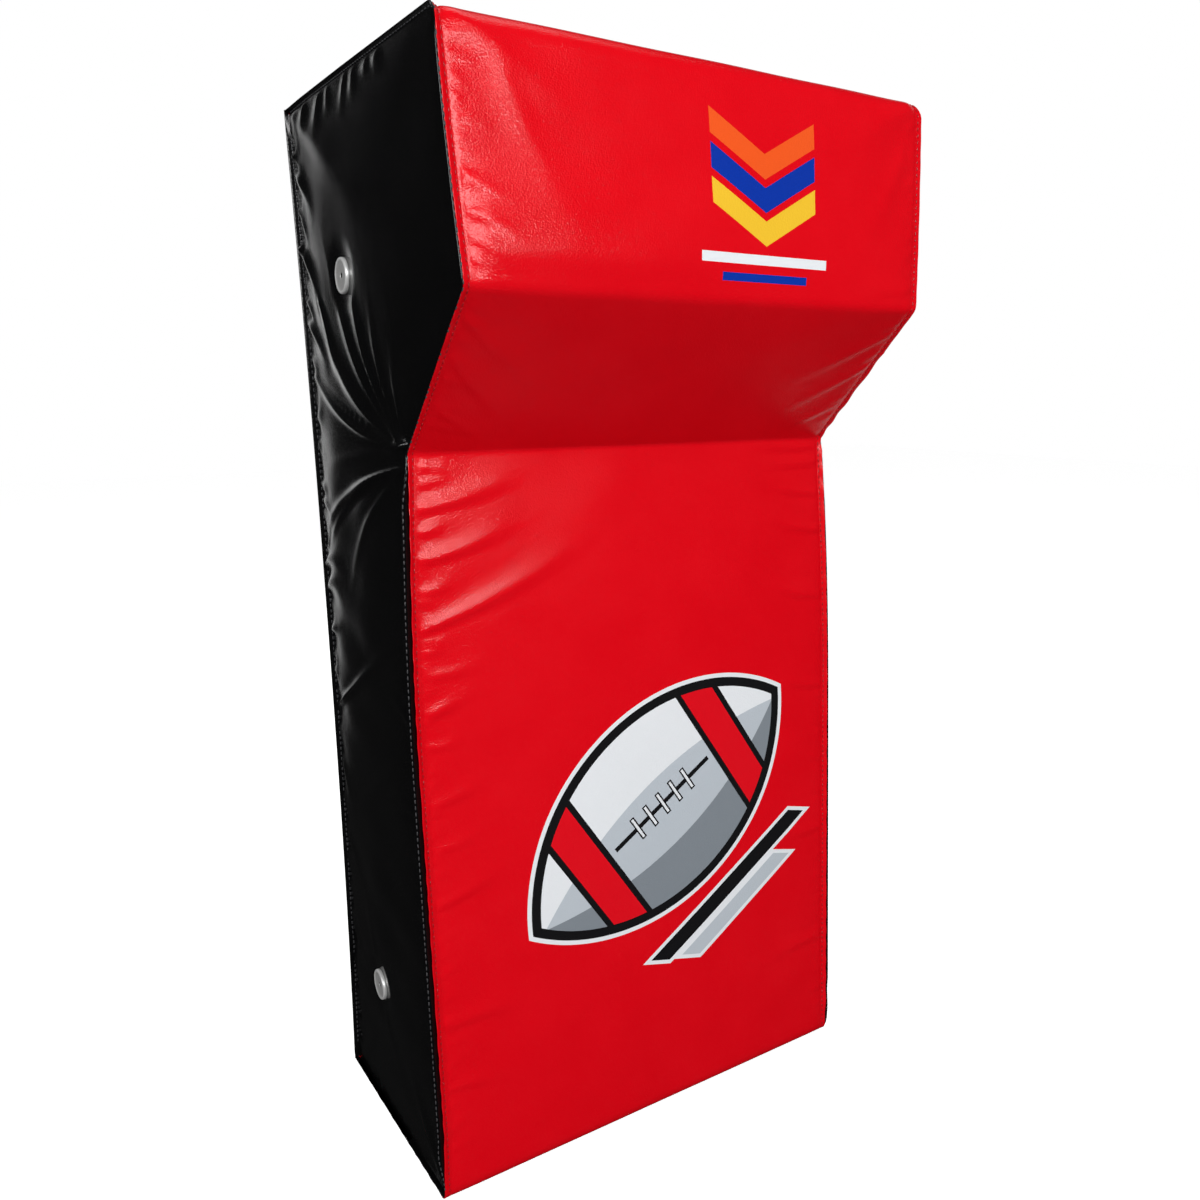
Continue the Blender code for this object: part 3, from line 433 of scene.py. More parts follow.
def vinyl(name, colour, dark, rough_low, rough_high, grain, specular):
    """Embossed vinyl: grain as bump, and a slow change of colour and shine over the sheet."""
    made, tree, shader = new_material(name)
    shader.inputs["Specular IOR Level"].default_value = specular
    surface = add_node(tree, "Group", {"Cell": 780}, node_tree=vinyl_grain)
    tint = blend(tree, dark, colour)
    worn = add_node(tree, "Math", {1: 0.35}, operation="MULTIPLY_ADD")
    shine = add_node(tree, "MapRange",
                     {"From Min": 0.45, "From Max": 0.9, "To Min": rough_low, "To Max": rough_high})
    bump = add_node(tree, "Bump", {"Distance": grain})
    wire(
        tree, (surface, "Mottle", tint, 0), (surface, "Scuff", worn, 0),
        (surface, "Mottle", worn, 2), (worn, 0, shine, "Value"),
        (tint, 2, shader, "Base Color"), (shine, 0, shader, "Roughness"),
        (surface, "Height", bump, "Height"), (bump, 0, shader, "Normal"),
    )
    return made


red_vinyl = vinyl("red_vinyl", (0.76, 0.0018, 0.0085), (0.69, 0.0012, 0.0066), 0.16, 0.21, 0.00014, 0.36)
black_vinyl = vinyl("black_vinyl", (0.0036, 0.0036, 0.0038), (0.0024, 0.0024, 0.0026),
                    0.13, 0.21, 0.00005, 0.5)

# Front strip
# One long piece of red vinyl runs from the back over the top, the head, the wedge and the lower
# face, and under the base to the back again. Its long edges are sewn to the side panels.
LAP = 0.012
LAP_DEPTH = BACK + 0.0012
strip_corners = [
    Vector((LAP_DEPTH, HEIGHT - LAP)), Vector((LAP_DEPTH, HEIGHT)), HEAD_TOP, HEAD_EDGE,
    FOLD, BASE_FRONT, Vector((LAP_DEPTH, 0.0)), Vector((LAP_DEPTH, LAP)),
]
strip_run, strip_along = rounded_run(strip_corners, [0.003] + OUTLINE_RADII + [0.003], 0.0030)
strip_normal = run_normals(strip_run)
strip_marks = [
    float(strip_along[np.argmin(np.linalg.norm(strip_run - np.array(tuple(c)), axis=1))])
    for c in strip_corners[1:7]
]
AT_TOP_BACK, AT_HEAD_TOP, AT_HEAD_EDGE, AT_FOLD, AT_BASE_FRONT, AT_BASE_BACK = strip_marks


def on_head(height):
    """The place along the strip of a height on the head's face."""
    share = (HEIGHT - height) / (HEIGHT - HEAD_EDGE.y)
    return AT_HEAD_TOP + share * (AT_HEAD_EDGE - AT_HEAD_TOP)


def on_slope(height):
    share = (HEAD_EDGE.y - height) / (HEAD_EDGE.y - FOLD.y)
    return AT_HEAD_EDGE + share * (AT_FOLD - AT_HEAD_EDGE)


def on_lower(height):
    return AT_FOLD + (FOLD.y - height) / FOLD.y * (AT_BASE_FRONT - AT_FOLD)


def onto_strip(place_at, rows):
    """Turns the heights in a table of ridges into places along the strip."""
    return [((x0, place_at(z0)), (x1, place_at(z1)), *rest) for (x0, z0), (x1, z1), *rest in rows]


def creases(across, along, table, skew=0.0):
    """The height of the ridges in a table of (start, end, bow, width, height) over a panel.

    A ridge is narrow and steep at the seam, spreads out as it leaves it, and has a shallow
    dip along both of its sides. A skew makes its upper side broad and its lower side sharp."""
    total = np.zeros_like(across)
    for (u0, v0), (u1, v1), bow, width, height in table:
        length = math.hypot(u1 - u0, v1 - v0)
        du, dv = (u1 - u0) / length, (v1 - v0) / length
        t = ((across - u0) * du + (along - v0) * dv) / length
        off = (across - u0) * -dv + (along - v0) * du
        near = (t > -0.12) & (t < 1.2) & (np.abs(off) < 12 * width + abs(bow))
        t, off = t[near], off[near]
        off = off - bow * 4 * t * (1 - t)
        lean = 1 - skew * np.sign(off) * np.sign(du)
        side = off / (width * (0.50 + 1.0 * np.clip(t, 0, 1)) * lean)
        shape = np.exp(-np.abs(side) ** 1.6) - 0.32 * np.exp(-((side / 2.3) ** 2))
        taper = smooth_step(-0.10, 0.08, t) * (1 - smooth_step(0.25, 1.15, t))
        total[near] += height * shape * taper
    return total


def ripple(across, along, seed, size):
    """A gentle unevenness of the foam under the sheet, from a few crossing waves."""
    source = random.Random(seed)
    total = np.zeros_like(across)
    for n in range(9):
        angle = source.uniform(0, math.pi)
        wave = size * source.uniform(0.7, 1.8)
        phase = source.uniform(0, math.tau)
        total += np.sin((across * math.cos(angle) + along * math.sin(angle)) * math.tau / wave + phase)
    return total / 9


def puckers(source, seam, inward, start, stop, gap, length, lean, width, height):
    """Rows of small ridges that start at a seam and point inward, into the panel.

    The seam is a number where it is straight, and a function of the place where it isn't."""
    place = start
    rows = []
    while place < stop:
        long = length * source.uniform(0.45, 1.4)
        tilt = lean + source.uniform(-0.35, 0.35)
        wide, high = width * source.uniform(0.7, 1.4), height * source.uniform(0.5, 1.3)
        level = seam(place) if callable(seam) else seam
        x, y = (level, place) if inward[0] else (place, level)
        reach, slip = long * math.cos(tilt), long * math.sin(tilt)
        tip = (x + inward[0] * reach + abs(inward[1]) * slip, y + inward[1] * reach + abs(inward[0]) * slip)
        rows.append(((x, y), tip, 0.0, wide, high))
        place += gap * source.uniform(0.6, 1.6)
    return rows


def strip_crease_table():
    """The photographed ridges at the left edge, others like them at the right, and small puckers."""
    head = [
        # short puckers near its lower corners
        ((-0.204, 0.838), (-0.180, 0.832), 0.000, 0.0040, 0.0010),
        ((-0.204, 0.800), (-0.170, 0.786), 0.000, 0.0050, 0.0013),
        ((-0.204, 0.780), (-0.165, 0.762), 0.000, 0.0050, 0.0013),
        ((0.204, 0.752), (0.130, 0.744), -0.003, 0.0060, 0.0010),
    ]
    slope = [
        # soft diagonal ripples at both ends
        ((-0.203, 0.715), (-0.120, 0.668), 0.002, 0.0090, 0.0012),
        ((-0.203, 0.690), (-0.130, 0.640), 0.002, 0.0080, 0.0012),
        ((-0.200, 0.655), (-0.150, 0.632), 0.001, 0.0050, 0.0010),
        ((0.203, 0.715), (0.110, 0.672), -0.002, 0.0095, 0.0009),
        ((0.203, 0.688), (0.120, 0.645), -0.002, 0.0080, 0.0009),
        ((0.200, 0.655), (0.140, 0.630), -0.001, 0.0055, 0.0009),
    ]
    lower = [
        # long ridges that climb from the left edge
        ((-0.201, 0.6105), (-0.180, 0.6120), 0.001, 0.0030, 0.0012),
        ((-0.202, 0.5980), (-0.178, 0.6030), 0.000, 0.0034, 0.0013),
        ((-0.203, 0.5800), (-0.120, 0.6020), 0.003, 0.0068, 0.0027),
        ((-0.203, 0.5620), (-0.182, 0.5670), 0.000, 0.0036, 0.0014),
        ((-0.203, 0.5400), (-0.120, 0.5660), 0.003, 0.0068, 0.0027),
        ((-0.204, 0.5160), (-0.172, 0.5230), 0.001, 0.0046, 0.0016),
        ((-0.204, 0.4870), (-0.060, 0.5440), 0.004, 0.0080, 0.0029),
        ((-0.204, 0.4680), (-0.182, 0.4730), 0.000, 0.0038, 0.0014),
        ((-0.204, 0.4500), (-0.150, 0.4560), 0.002, 0.0050, 0.0014),
        ((-0.204, 0.4200), (-0.160, 0.4340), 0.001, 0.0060, 0.0018),
        ((-0.204, 0.3930), (-0.172, 0.3970), 0.001, 0.0042, 0.0016),
        ((-0.204, 0.3450), (-0.150, 0.3600), 0.001, 0.0060, 0.0016),
        ((-0.204, 0.3080), (-0.160, 0.3180), 0.002, 0.0050, 0.0014),
        ((-0.204, 0.2600), (-0.140, 0.2850), 0.002, 0.0064, 0.0016),
        ((-0.204, 0.1550), (-0.120, 0.1540), -0.004, 0.0090, 0.0016),
        ((-0.204, 0.1000), (-0.150, 0.0920), -0.002, 0.0070, 0.0013),
        # the gathers at the right end of the fold, and the ridges under them
        ((0.202, 0.6150), (0.110, 0.6190), -0.002, 0.0045, 0.0020),
        ((0.203, 0.6000), (0.120, 0.6040), -0.003, 0.0060, 0.0018),
        ((0.203, 0.5700), (0.125, 0.5870), -0.003, 0.0070, 0.0020),
        ((0.204, 0.5350), (0.130, 0.5540), -0.003, 0.0070, 0.0019),
        ((0.204, 0.4700), (0.130, 0.4900), -0.003, 0.0070, 0.0018),
        ((0.204, 0.3800), (0.140, 0.3970), -0.003, 0.0070, 0.0016),
        ((0.204, 0.2300), (0.145, 0.2380), -0.003, 0.0070, 0.0015),
        ((0.204, 0.1100), (0.130, 0.1040), 0.003, 0.0070, 0.0014),
    ]
    table = onto_strip(on_head, head) + onto_strip(on_slope, slope) + onto_strip(on_lower, lower)
    source = random.Random(7)
    spans = (
        (AT_TOP_BACK + 0.02, AT_HEAD_TOP - 0.02, 0.030, 0.022, 0.0, 0.0040, 0.0007),
        (AT_HEAD_TOP + 0.015, AT_HEAD_EDGE - 0.010, 0.0100, 0.016, 0.3, 0.0030, 0.0014),
        (AT_HEAD_EDGE + 0.015, AT_FOLD - 0.012, 0.024, 0.040, 0.5, 0.0050, 0.0006),
        (AT_FOLD + 0.012, AT_BASE_FRONT - 0.03, 0.0150, 0.018, -0.35, 0.0032, 0.0010),
        (AT_BASE_FRONT + 0.03, AT_BASE_BACK - 0.02, 0.035, 0.020, 0.0, 0.0040, 0.0003),
    )
    for side in (-1, 1):
        for span in spans:
            table += puckers(source, side * (HALF_WIDTH - 0.003), (-side, 0), *span)
    return table


def head_puffs():
    """The soft bands that run over the head's face from its two upper corners."""
    return onto_strip(on_head, [
        ((-0.215, 0.905), (-0.110, 0.838), -0.004, 0.0140, 0.0030),
        ((-0.172, 0.876), (-0.108, 0.752), 0.006, 0.0170, 0.0016),
        ((0.215, 0.905), (0.120, 0.850), 0.004, 0.0150, 0.0024),
        ((0.190, 0.860), (0.120, 0.760), -0.006, 0.0140, 0.0014),
    ])


def strip_lift(across, along):
    """How far the strip stands over its run: the foam's bulge, the ridges and a slight unevenness."""
    share = across / HALF_WIDTH / 2 + 0.5
    flats = (
        (AT_TOP_BACK, AT_HEAD_TOP, 0.003),
        (AT_HEAD_TOP, AT_HEAD_EDGE, 0.004),
        (AT_HEAD_EDGE, AT_FOLD, 0.002),
        (AT_FOLD, AT_BASE_FRONT, 0.004),
    )
    inward = np.clip(HALF_WIDTH - np.abs(across), 0, None)
    on_base = smooth_step(AT_BASE_FRONT - 0.012, AT_BASE_FRONT + 0.006, along)
    lap = smooth_step(AT_TOP_BACK + 0.02, AT_TOP_BACK, along)
    free = 1 - np.maximum(on_base, lap)
    total = np.zeros_like(across)
    for low, high, height in flats:
        total += height * hump((along - low) / (high - low)) * hump(share)
    total += 0.0014 * (1 - np.exp(-inward / 0.009)) * free
    total += creases(across, along, strip_crease_table(), 0.45) * smooth_step(0, 0.005, inward) * free
    total += creases(across, along, head_puffs()) * smooth_step(0, 0.012, inward) * free
    over_edge = smooth_step(AT_HEAD_EDGE - 0.095, AT_HEAD_EDGE - 0.035, along)
    over_edge = over_edge * smooth_step(AT_HEAD_EDGE + 0.002, AT_HEAD_EDGE - 0.026, along)
    to_left = 0.25 + 0.75 * smooth_step(0.08, -0.15, across)
    total += 0.0040 * over_edge * to_left * smooth_step(0, 0.02, inward)
    total += 0.0005 * ripple(across, along, 3, 0.09) * smooth_step(0, 0.03, inward) * free
    return total


def grid_columns(near, middle_count):
    """Places across a panel, fine by both seams and wider between them, from 0 to 1."""
    inner = np.linspace(near[-1], 0.5, middle_count)[1:]
    half = np.concatenate([near, inner])
    return np.concatenate([half, 1 - half[-2::-1]])


strip_shares = grid_columns(
    np.concatenate([np.array([0, 0.0008, 0.0018, 0.0030, 0.0046, 0.0066]), np.arange(0.0090, 0.062, 0.0024)])
    / (2 * HALF_WIDTH), 26
)
strip_across = (strip_shares * 2 - 1) * HALF_WIDTH
OUTER_FACE = 1.05
# the lip's columns, outwards: place along the lip, and which of the sheet's two faces
lip_columns = [(0.30, OUTER_FACE), (0.65, OUTER_FACE), (0.94, OUTER_FACE),
               (1.0, 0.8), (1.0, 0.2), (0.90, 0.05), (0.4, 0.05)]


def row_grid(rows, columns):
    """A flat grid, and its vertices row by row, each with its row and its column."""
    bm = bmesh.new()
    bmesh.ops.create_grid(bm, x_segments=columns - 1, y_segments=rows - 1, size=1)
    verts = list(bm.verts)
    flat = np.array([vert.co[:2] for vert in verts])
    order = np.lexsort((flat[:, 0], np.round(flat[:, 1], 5)))
    return bm, [(verts[index], *divmod(place, columns)) for place, index in enumerate(order)]


def lay_flat(bm, name, spots):
    """A UV map with the place of each vertex on its sheet before it was sewn."""
    layer = bm.loops.layers.uv.new(name)
    for face in bm.faces:
        for loop in face.loops:
            loop[layer].uv = spots[loop.vert]


def face_towards(bm, spot, way):
    """Turns the faces over if the one nearest to a spot looks away from where it should."""
    bm.normal_update()
    nearest = min(bm.faces, key=lambda face: (face.calc_center_median() - Vector(spot)).length)
    if nearest.normal.dot(Vector(way)) < 0:
        bmesh.ops.reverse_faces(bm, faces=bm.faces)


def verts_of(geometry):
    return [part for part in geometry if isinstance(part, bmesh.types.BMVert)]


def build_strip():
    rows, inner, lips = len(strip_along), len(strip_across), len(lip_columns)
    columns = inner + 2 * lips
    across, along = np.meshgrid(strip_across, strip_along)
    depth, height = strip_run[:, 0][:, None], strip_run[:, 1][:, None]
    lift = strip_lift(across, along)
    places = np.zeros((rows, columns, 3))
    width = seam_half_width(depth, np.clip(height, 0, HEIGHT))
    places[:, lips:-lips, 0] = across * width / HALF_WIDTH
    places[:, lips:-lips, 1] = depth + strip_normal[:, 0][:, None] * lift
    places[:, lips:-lips, 2] = height + strip_normal[:, 1][:, None] * lift
    uv_across = np.zeros((rows, columns))
    uv_across[:, lips:-lips] = across
    for row in range(rows):
        y, z = strip_run[row]
        flutter = 0.0004 * math.sin(strip_along[row] / 0.0037 + 3 * math.sin(strip_along[row] * 37))
        for side, seam_column, step in ((-1, lips, -1), (1, columns - lips - 1, 1)):
            wave = flutter * (0.2 if side > 0 and z > 0.70 else 1.0)
            foot, points, square = seam_frame(side, y, z, strip_normal[row])
            reach = 0.35 + 0.50 * float(smooth_step(BACK + 0.0006, BACK - 0.004, y))
            reach += 0.15 * float(smooth_step(AT_HEAD_TOP - 0.03, AT_HEAD_TOP, strip_along[row]))
            reach *= 1 - 0.45 * float(smooth_step(HEIGHT - 0.012, HEIGHT, z))
            to_base_back = smooth_step(AT_BASE_BACK - 0.03, AT_BASE_BACK - 0.002, strip_along[row])
            reach *= 1 - 0.7 * float(to_base_back)
            start = foot + square * SHEET * OUTER_FACE
            shift = np.array(start) - places[row, seam_column]
            for n in range(14):
                column = seam_column - step * n
                fade = math.exp(-((abs(uv_across[row, column]) - HALF_WIDTH) / 0.0035) ** 2)
                places[row, column] += shift * fade
            for n, (out, face) in enumerate(lip_columns):
                spot = foot + points * (LIP + wave * 0.6) * out * reach + square * (SHEET * face + wave * out)
                places[row, seam_column + step * (n + 1)] = spot
                uv_across[row, seam_column + step * (n + 1)] = side * (HALF_WIDTH + LIP * out)
    places[:, :, 2] = np.maximum(places[:, :, 2], 0.0)
    bm, cells = row_grid(rows, columns)
    spots = {}
    for vert, row, column in cells:
        vert.co = places[row, column]
        spots[vert] = (uv_across[row, column], strip_along[row])
    lay_flat(bm, "sheet", spots)
    face_towards(bm, (0, BASE_FRONT.x, 0.3), (0, -1, 0))
    ends = [edge for edge in bm.edges if edge.is_boundary and all(v.co.y > BACK for v in edge.verts)
            and abs(edge.verts[0].co.z - edge.verts[1].co.z) < 0.0004]
    turned = bmesh.ops.extrude_edge_only(bm, edges=ends)["geom"]
    bmesh.ops.translate(bm, verts=verts_of(turned), vec=(0, -0.0010, 0))
    return bm


front_strip = finish_piece("front_strip", build_strip(), [red_vinyl])
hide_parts("front_cover")

# Print
# Plain shapes are screened on the strip before it is sewn: an oval ball over slanted bars on the
# lower face, and three nested angles over two bars on the head.


def ink_print(surface):
    """Lays the inks over the vinyl's colour, by the strip's own UV places."""
    tree = surface.node_tree
    shader = tree.nodes["Principled BSDF"]
    colour = shader.inputs["Base Color"].links[0].from_socket
    place = add_node(tree, "UVMap", uv_map="sheet")
    apart = add_node(tree, "SeparateXYZ")
    wire(tree, (place, 0, apart, 0))

    def work(operation, *values):
        node = add_node(tree, "Math", operation=operation)
        for n, value in enumerate(values):
            if isinstance(value, (int, float)):
                node.inputs[n].default_value = value
            else:
                tree.links.new(value, node.inputs[n])
        return node.outputs[0]

    def placed(x, along, degrees):
        """Places turned about a middle, to the right and upwards."""
        turn = math.radians(degrees)
        right = work("SUBTRACT", apart.outputs["X"], x)
        up = work("SUBTRACT", along, apart.outputs["Y"])
        a = work("MULTIPLY_ADD", right, math.cos(turn), work("MULTIPLY", up, math.sin(turn)))
        b = work("MULTIPLY_ADD", up, math.cos(turn), work("MULTIPLY", right, -math.sin(turn)))
        return a, b

    def within(value, middle, half):
        return work("LESS_THAN", work("ABSOLUTE", work("SUBTRACT", value, middle)), half)

    def all_of(first, *others):
        for other in others:
            first = work("MULTIPLY", first, other)
        return first

    def lay(mask, ink):
        nonlocal colour
        mixed = add_node(tree, "Mix", {7: (*ink, 1)}, data_type="RGBA")
        tree.links.new(mask, mixed.inputs[0])
        tree.links.new(colour, mixed.inputs[6])
        colour = mixed.outputs[2]

    white, silver, grey = (0.80, 0.83, 0.86), (0.50, 0.55, 0.60), (0.22, 0.25, 0.28)
    black, blue = (0.008, 0.008, 0.009), (0.004, 0.035, 0.36)
    yellow, orange = (0.86, 0.52, 0.03), (0.86, 0.10, 0.015)

    # the ball: two arcs that meet in points, with an outline, shaded panels and end bands
    long, up = placed(0.012, on_lower(0.300), 33)
    half_length, half_width = 0.150, 0.086
    arc = (half_length**2 + half_width**2) / (2 * half_width)
    flat = work("ADD", work("ABSOLUTE", up), arc - half_width)
    radius = work("SQRT", work("ADD", work("MULTIPLY", long, long), work("MULTIPLY", flat, flat)))
    edge = work("SUBTRACT", radius, arc)
    lay(work("LESS_THAN", edge, 0.0125), white)
    lay(work("LESS_THAN", edge, 0.0085), black)
    inside = work("LESS_THAN", edge, 0.0)
    lay(inside, silver)
    belly = work("MULTIPLY_ADD", work("MULTIPLY", long, long), 1.6, -0.030)
    lay(all_of(inside, work("GREATER_THAN", up, work("MULTIPLY", belly, -0.9))), white)
    lay(all_of(inside, work("LESS_THAN", up, work("SUBTRACT", belly, 0.010))), grey)
    for half, ink in ((0.0205, black), (0.0150, (0.74, 0.004, 0.012))):
        lay(all_of(inside, within(work("ABSOLUTE", long), 0.086, half)), ink)
    lay(all_of(inside, within(up, 0.002, 0.0022), within(long, 0.0, 0.060)), black)
    for n in range(5):
        lay(all_of(within(long, -0.032 + 0.016 * n, 0.0026), within(up, 0.002, 0.0125)), black)
        lay(all_of(within(long, -0.032 + 0.016 * n, 0.0012), within(up, 0.002, 0.0110)), white)

    # slanted bars under the ball
    for low, reach, shift, ink in ((-0.122, 0.098, 0.010, black), (-0.145, 0.066, 0.004, silver)):
        slant = work("MULTIPLY_ADD", up, 0.9, long)
        lay(all_of(within(slant, shift + 0.9 * low, reach + 0.0050), within(up, low, 0.0115)), white)
        lay(all_of(within(slant, shift + 0.9 * low, reach), within(up, low, 0.0078)), ink)

    # nested angles and two bars on the head
    right, high = placed(0.040, on_head(0.815), 0)
    bend = work("MULTIPLY_ADD", work("ABSOLUTE", right), -0.55, high)
    near = within(right, 0.0, 0.050)
    for middle, ink in ((0.038, orange), (0.014, blue), (-0.010, yellow)):
        lay(all_of(near, within(bend, middle - 0.022, 0.0090)), ink)
    lay(all_of(within(right, 0.0, 0.062), within(high, -0.051, 0.0036)), white)
    lay(all_of(within(right, 0.0, 0.042), within(high, -0.064, 0.0030)), blue)
    tree.links.new(colour, shader.inputs["Base Color"])


ink_print(red_vinyl)

# Side panels
# Each side is one piece of black vinyl cut to the outline. It swells between its seams, and is
# drawn into folds that fan out from the notch under the head and from the corners.
VENT_PLACES = [(-0.0095, 0.756), (0.0166, 0.134)]


def outline_distance(depth, height):
    """The distance of points of the side from its seam."""
    ring = [tuple(c) for c in seam_corners] + [(BACK, HEIGHT)]
    best = np.full(depth.shape, 9.0)
    for (y0, z0), (y1, z1) in zip(ring, ring[1:]):
        length2 = (y1 - y0) ** 2 + (z1 - z0) ** 2
        t = np.clip(((depth - y0) * (y1 - y0) + (height - z0) * (z1 - z0)) / length2, 0, 1)
        best = np.minimum(best, np.hypot(depth - y0 - t * (y1 - y0), height - z0 - t * (z1 - z0)))
    return best


def beside_front(height):
    return float(front_depth(height)) + 0.002


def side_crease_table():
    """The photographed folds of the side: a fan from the notch, others from the corners and edges."""
    notch = (FOLD.x + 0.003, FOLD.y + 0.005)
    under = (FOLD.x + 0.004, FOLD.y - 0.012)
    table = [
        # from the notch up and back
        (notch, (0.108, 0.684), -0.013, 0.0036, 0.0044),
        ((-0.040, 0.642), (0.070, 0.672), -0.003, 0.0018, 0.0016),
        (notch, (0.084, 0.760), -0.020, 0.0085, 0.0036),
        (notch, (0.030, 0.780), -0.014, 0.0060, 0.0034),
        (notch, (-0.020, 0.770), -0.010, 0.0060, 0.0034),
        (notch, (-0.070, 0.735), -0.006, 0.0046, 0.0026),
        (notch, (-0.110, 0.705), -0.003, 0.0040, 0.0016),
        # from the notch back and down
        (notch, (-0.020, 0.636), 0.003, 0.0026, 0.0018),
        ((FOLD.x + 0.003, FOLD.y - 0.003), (0.060, 0.606), 0.005, 0.0048, 0.0026),
        (under, (0.092, 0.546), 0.010, 0.0046, 0.0050),
        (under, (0.090, 0.526), 0.015, 0.0032, 0.0024),
        (under, (0.020, 0.500), 0.010, 0.0060, 0.0018),
        # from the upper back corner down, and along the back edge of the head
        ((0.119, 0.866), (0.080, 0.842), 0.000, 0.0045, 0.0020),
        ((0.119, 0.852), (0.060, 0.812), -0.004, 0.0075, 0.0038),
        ((0.119, 0.822), (0.084, 0.790), -0.003, 0.0050, 0.0022),
        ((0.119, 0.790), (0.060, 0.742), -0.005, 0.0080, 0.0046),
        ((0.119, 0.748), (0.080, 0.722), -0.003, 0.0050, 0.0024),
        ((0.119, 0.730), (0.050, 0.690), -0.004, 0.0070, 0.0038),
        ((0.060, 0.742), (0.020, 0.680), -0.003, 0.0060, 0.0020),
        ((0.119, 0.700), (0.085, 0.684), 0.000, 0.0040, 0.0020),
        # along the back edge, lower down
        ((0.118, 0.575), (0.062, 0.562), 0.000, 0.0055, 0.0026),
        ((0.118, 0.520), (0.080, 0.545), 0.003, 0.0036, 0.0026),
        ((0.119, 0.510), (0.040, 0.520), -0.006, 0.0085, 0.0041),
        ((0.119, 0.486), (0.050, 0.500), -0.006, 0.0095, 0.0046),
        ((0.118, 0.445), (0.053, 0.463), -0.002, 0.0045, 0.0022),
        ((0.110, 0.375), (-0.085, 0.479), 0.004, 0.0048, 0.0030),
        ((0.118, 0.330), (0.060, 0.290), -0.005, 0.0090, 0.0018),
        ((0.118, 0.262), (0.050, 0.215), -0.005, 0.0090, 0.0018),
        ((0.118, 0.170), (0.050, 0.120), -0.006, 0.0090, 0.0018),
        ((0.117, 0.004), (0.040, 0.080), 0.006, 0.0085, 0.0018),
        ((0.016, 0.134), (0.050, 0.230), 0.004, 0.0060, 0.0010),
        ((0.016, 0.134), (-0.030, 0.060), 0.003, 0.0060, 0.0012),
        ((-0.060, 0.360), (0.040, 0.300), 0.004, 0.0080, 0.0012),
        # from the front edge
        ((-0.117, 0.404), (-0.060, 0.432), 0.003, 0.0042, 0.0026),
        ((-0.118, 0.330), (-0.070, 0.345), 0.003, 0.0046, 0.0022),
        ((-0.118, 0.272), (-0.080, 0.280), 0.002, 0.0046, 0.0020),
        ((-0.117, 0.008), (-0.050, 0.090), -0.006, 0.0090, 0.0022),
    ]
    source = random.Random(11)
    seams = (
        (BACK - 0.002, (-1, 0), 0.02, HEIGHT - 0.02, 0.024, 0.030, 0.0, 0.0070, 0.0024),
        (beside_front, (1, 0), 0.03, FOLD.y - 0.02, 0.0110, 0.016, 0.0, 0.0030, 0.0021),
        (beside_front, (1, 0), HEAD_EDGE.y + 0.01, HEIGHT - 0.02, 0.020, 0.014, 0.0, 0.0034, 0.0007),
        (HEIGHT - 0.002, (0, -1), -0.105, BACK - 0.03, 0.0320, 0.028, 0.0, 0.0090, 0.0017),
        (0.002, (0, 1), BASE_FRONT.x + 0.02, BACK - 0.02, 0.024, 0.018, 0.0, 0.0040, 0.0006),
    )
    for seam in seams:
        table += puckers(source, *seam)
    return table


def side_swell(depth, height):
    """A broad ridge from the upper back corner to the notch, and a full lower part below it."""
    heights = [0, 0.45, 0.54, 0.60, 0.640, 0.695, 0.746, 0.786, 0.826, 0.855, 0.883, HEIGHT]
    crests = [-0.010, -0.012, -0.045, -0.080, -0.108, -0.122, -0.103, -0.072, -0.026, 0.023, 0.078, 0.113]
    crest = np.interp(height, heights, crests)
    front = front_depth(height)
    back = (depth - crest) / np.maximum(BACK - crest, 0.004)
    ahead = (crest - depth) / np.maximum(crest - front, 0.004)
    across = np.where(depth > crest, back, ahead)
    swell = np.minimum(0.026 * (BACK - crest), 0.0050) * (0.80 + 0.20 * smooth_step(0.60, 0.70, height))
    swell = swell * smooth_step(0, 0.12, height)
    swell = swell * (1 - 0.7 * np.exp(-(((height - FOLD.y) / 0.05) ** 2)))
    for y, z in VENT_PLACES:
        swell = swell * (1 - 0.30 * np.exp(-(((depth - y) ** 2 + (height - z) ** 2) / 0.034**2)))
    return swell * np.clip(1 - across**2, 0, 1)


CORNER_FOLD = [((0.119, 0.899), (-0.060, 0.797), -0.0095, 0.0230, 0.0034)]


def side_crown(depth, height):
    """The even bulge of a packed side panel."""
    return 0.004 * hump(depth_share(depth, height)) * hump(height / HEIGHT)


def side_lift(depth, height):
    """How far the side panel stands off its seam's plane."""
    away = outline_distance(depth, height)
    folds = creases(depth, height, side_crease_table()) * smooth_step(0, 0.006, away)
    folds += creases(depth, height, CORNER_FOLD, -0.3) * smooth_step(0, 0.006, away)
    folds += 0.0016 * (1 - np.exp(-away / 0.007)) * smooth_step(BACK, BACK - 0.03, depth)
    uneven = 0.0016 * ripple(depth, height, 5, 0.065) * smooth_step(0, 0.02, away)
    folds += uneven * (1 - 0.7 * smooth_step(0.60, 0.70, height))
    for y, z in VENT_PLACES:
        distance = np.hypot(depth - y, height - z)
        folds *= smooth_step(0.014, 0.034, distance)
    return side_crown(depth, height) + side_swell(depth, height) + np.maximum(folds, -0.0016)


side_heights = np.unique(np.round(np.concatenate([
    [0, 0.0008, 0.0018, 0.003, 0.005, 0.008, 0.0105], np.linspace(0.0130, HEIGHT - 0.0160, 372),
    [HEIGHT - 0.0130, HEIGHT - 0.0105, HEIGHT - 0.0080, HEIGHT - 0.0050, HEIGHT - 0.003, HEIGHT - 0.0015,
     HEIGHT - 0.0006, HEIGHT],
]), 6))
side_shares = grid_columns(np.array([0, 0.0025, 0.0055, 0.010, 0.016, 0.024, 0.033]), 56)
seam_face = seam_run[seam_run[:, 0] < 0.02]
seam_face = seam_face[np.argsort(seam_face[:, 1])]


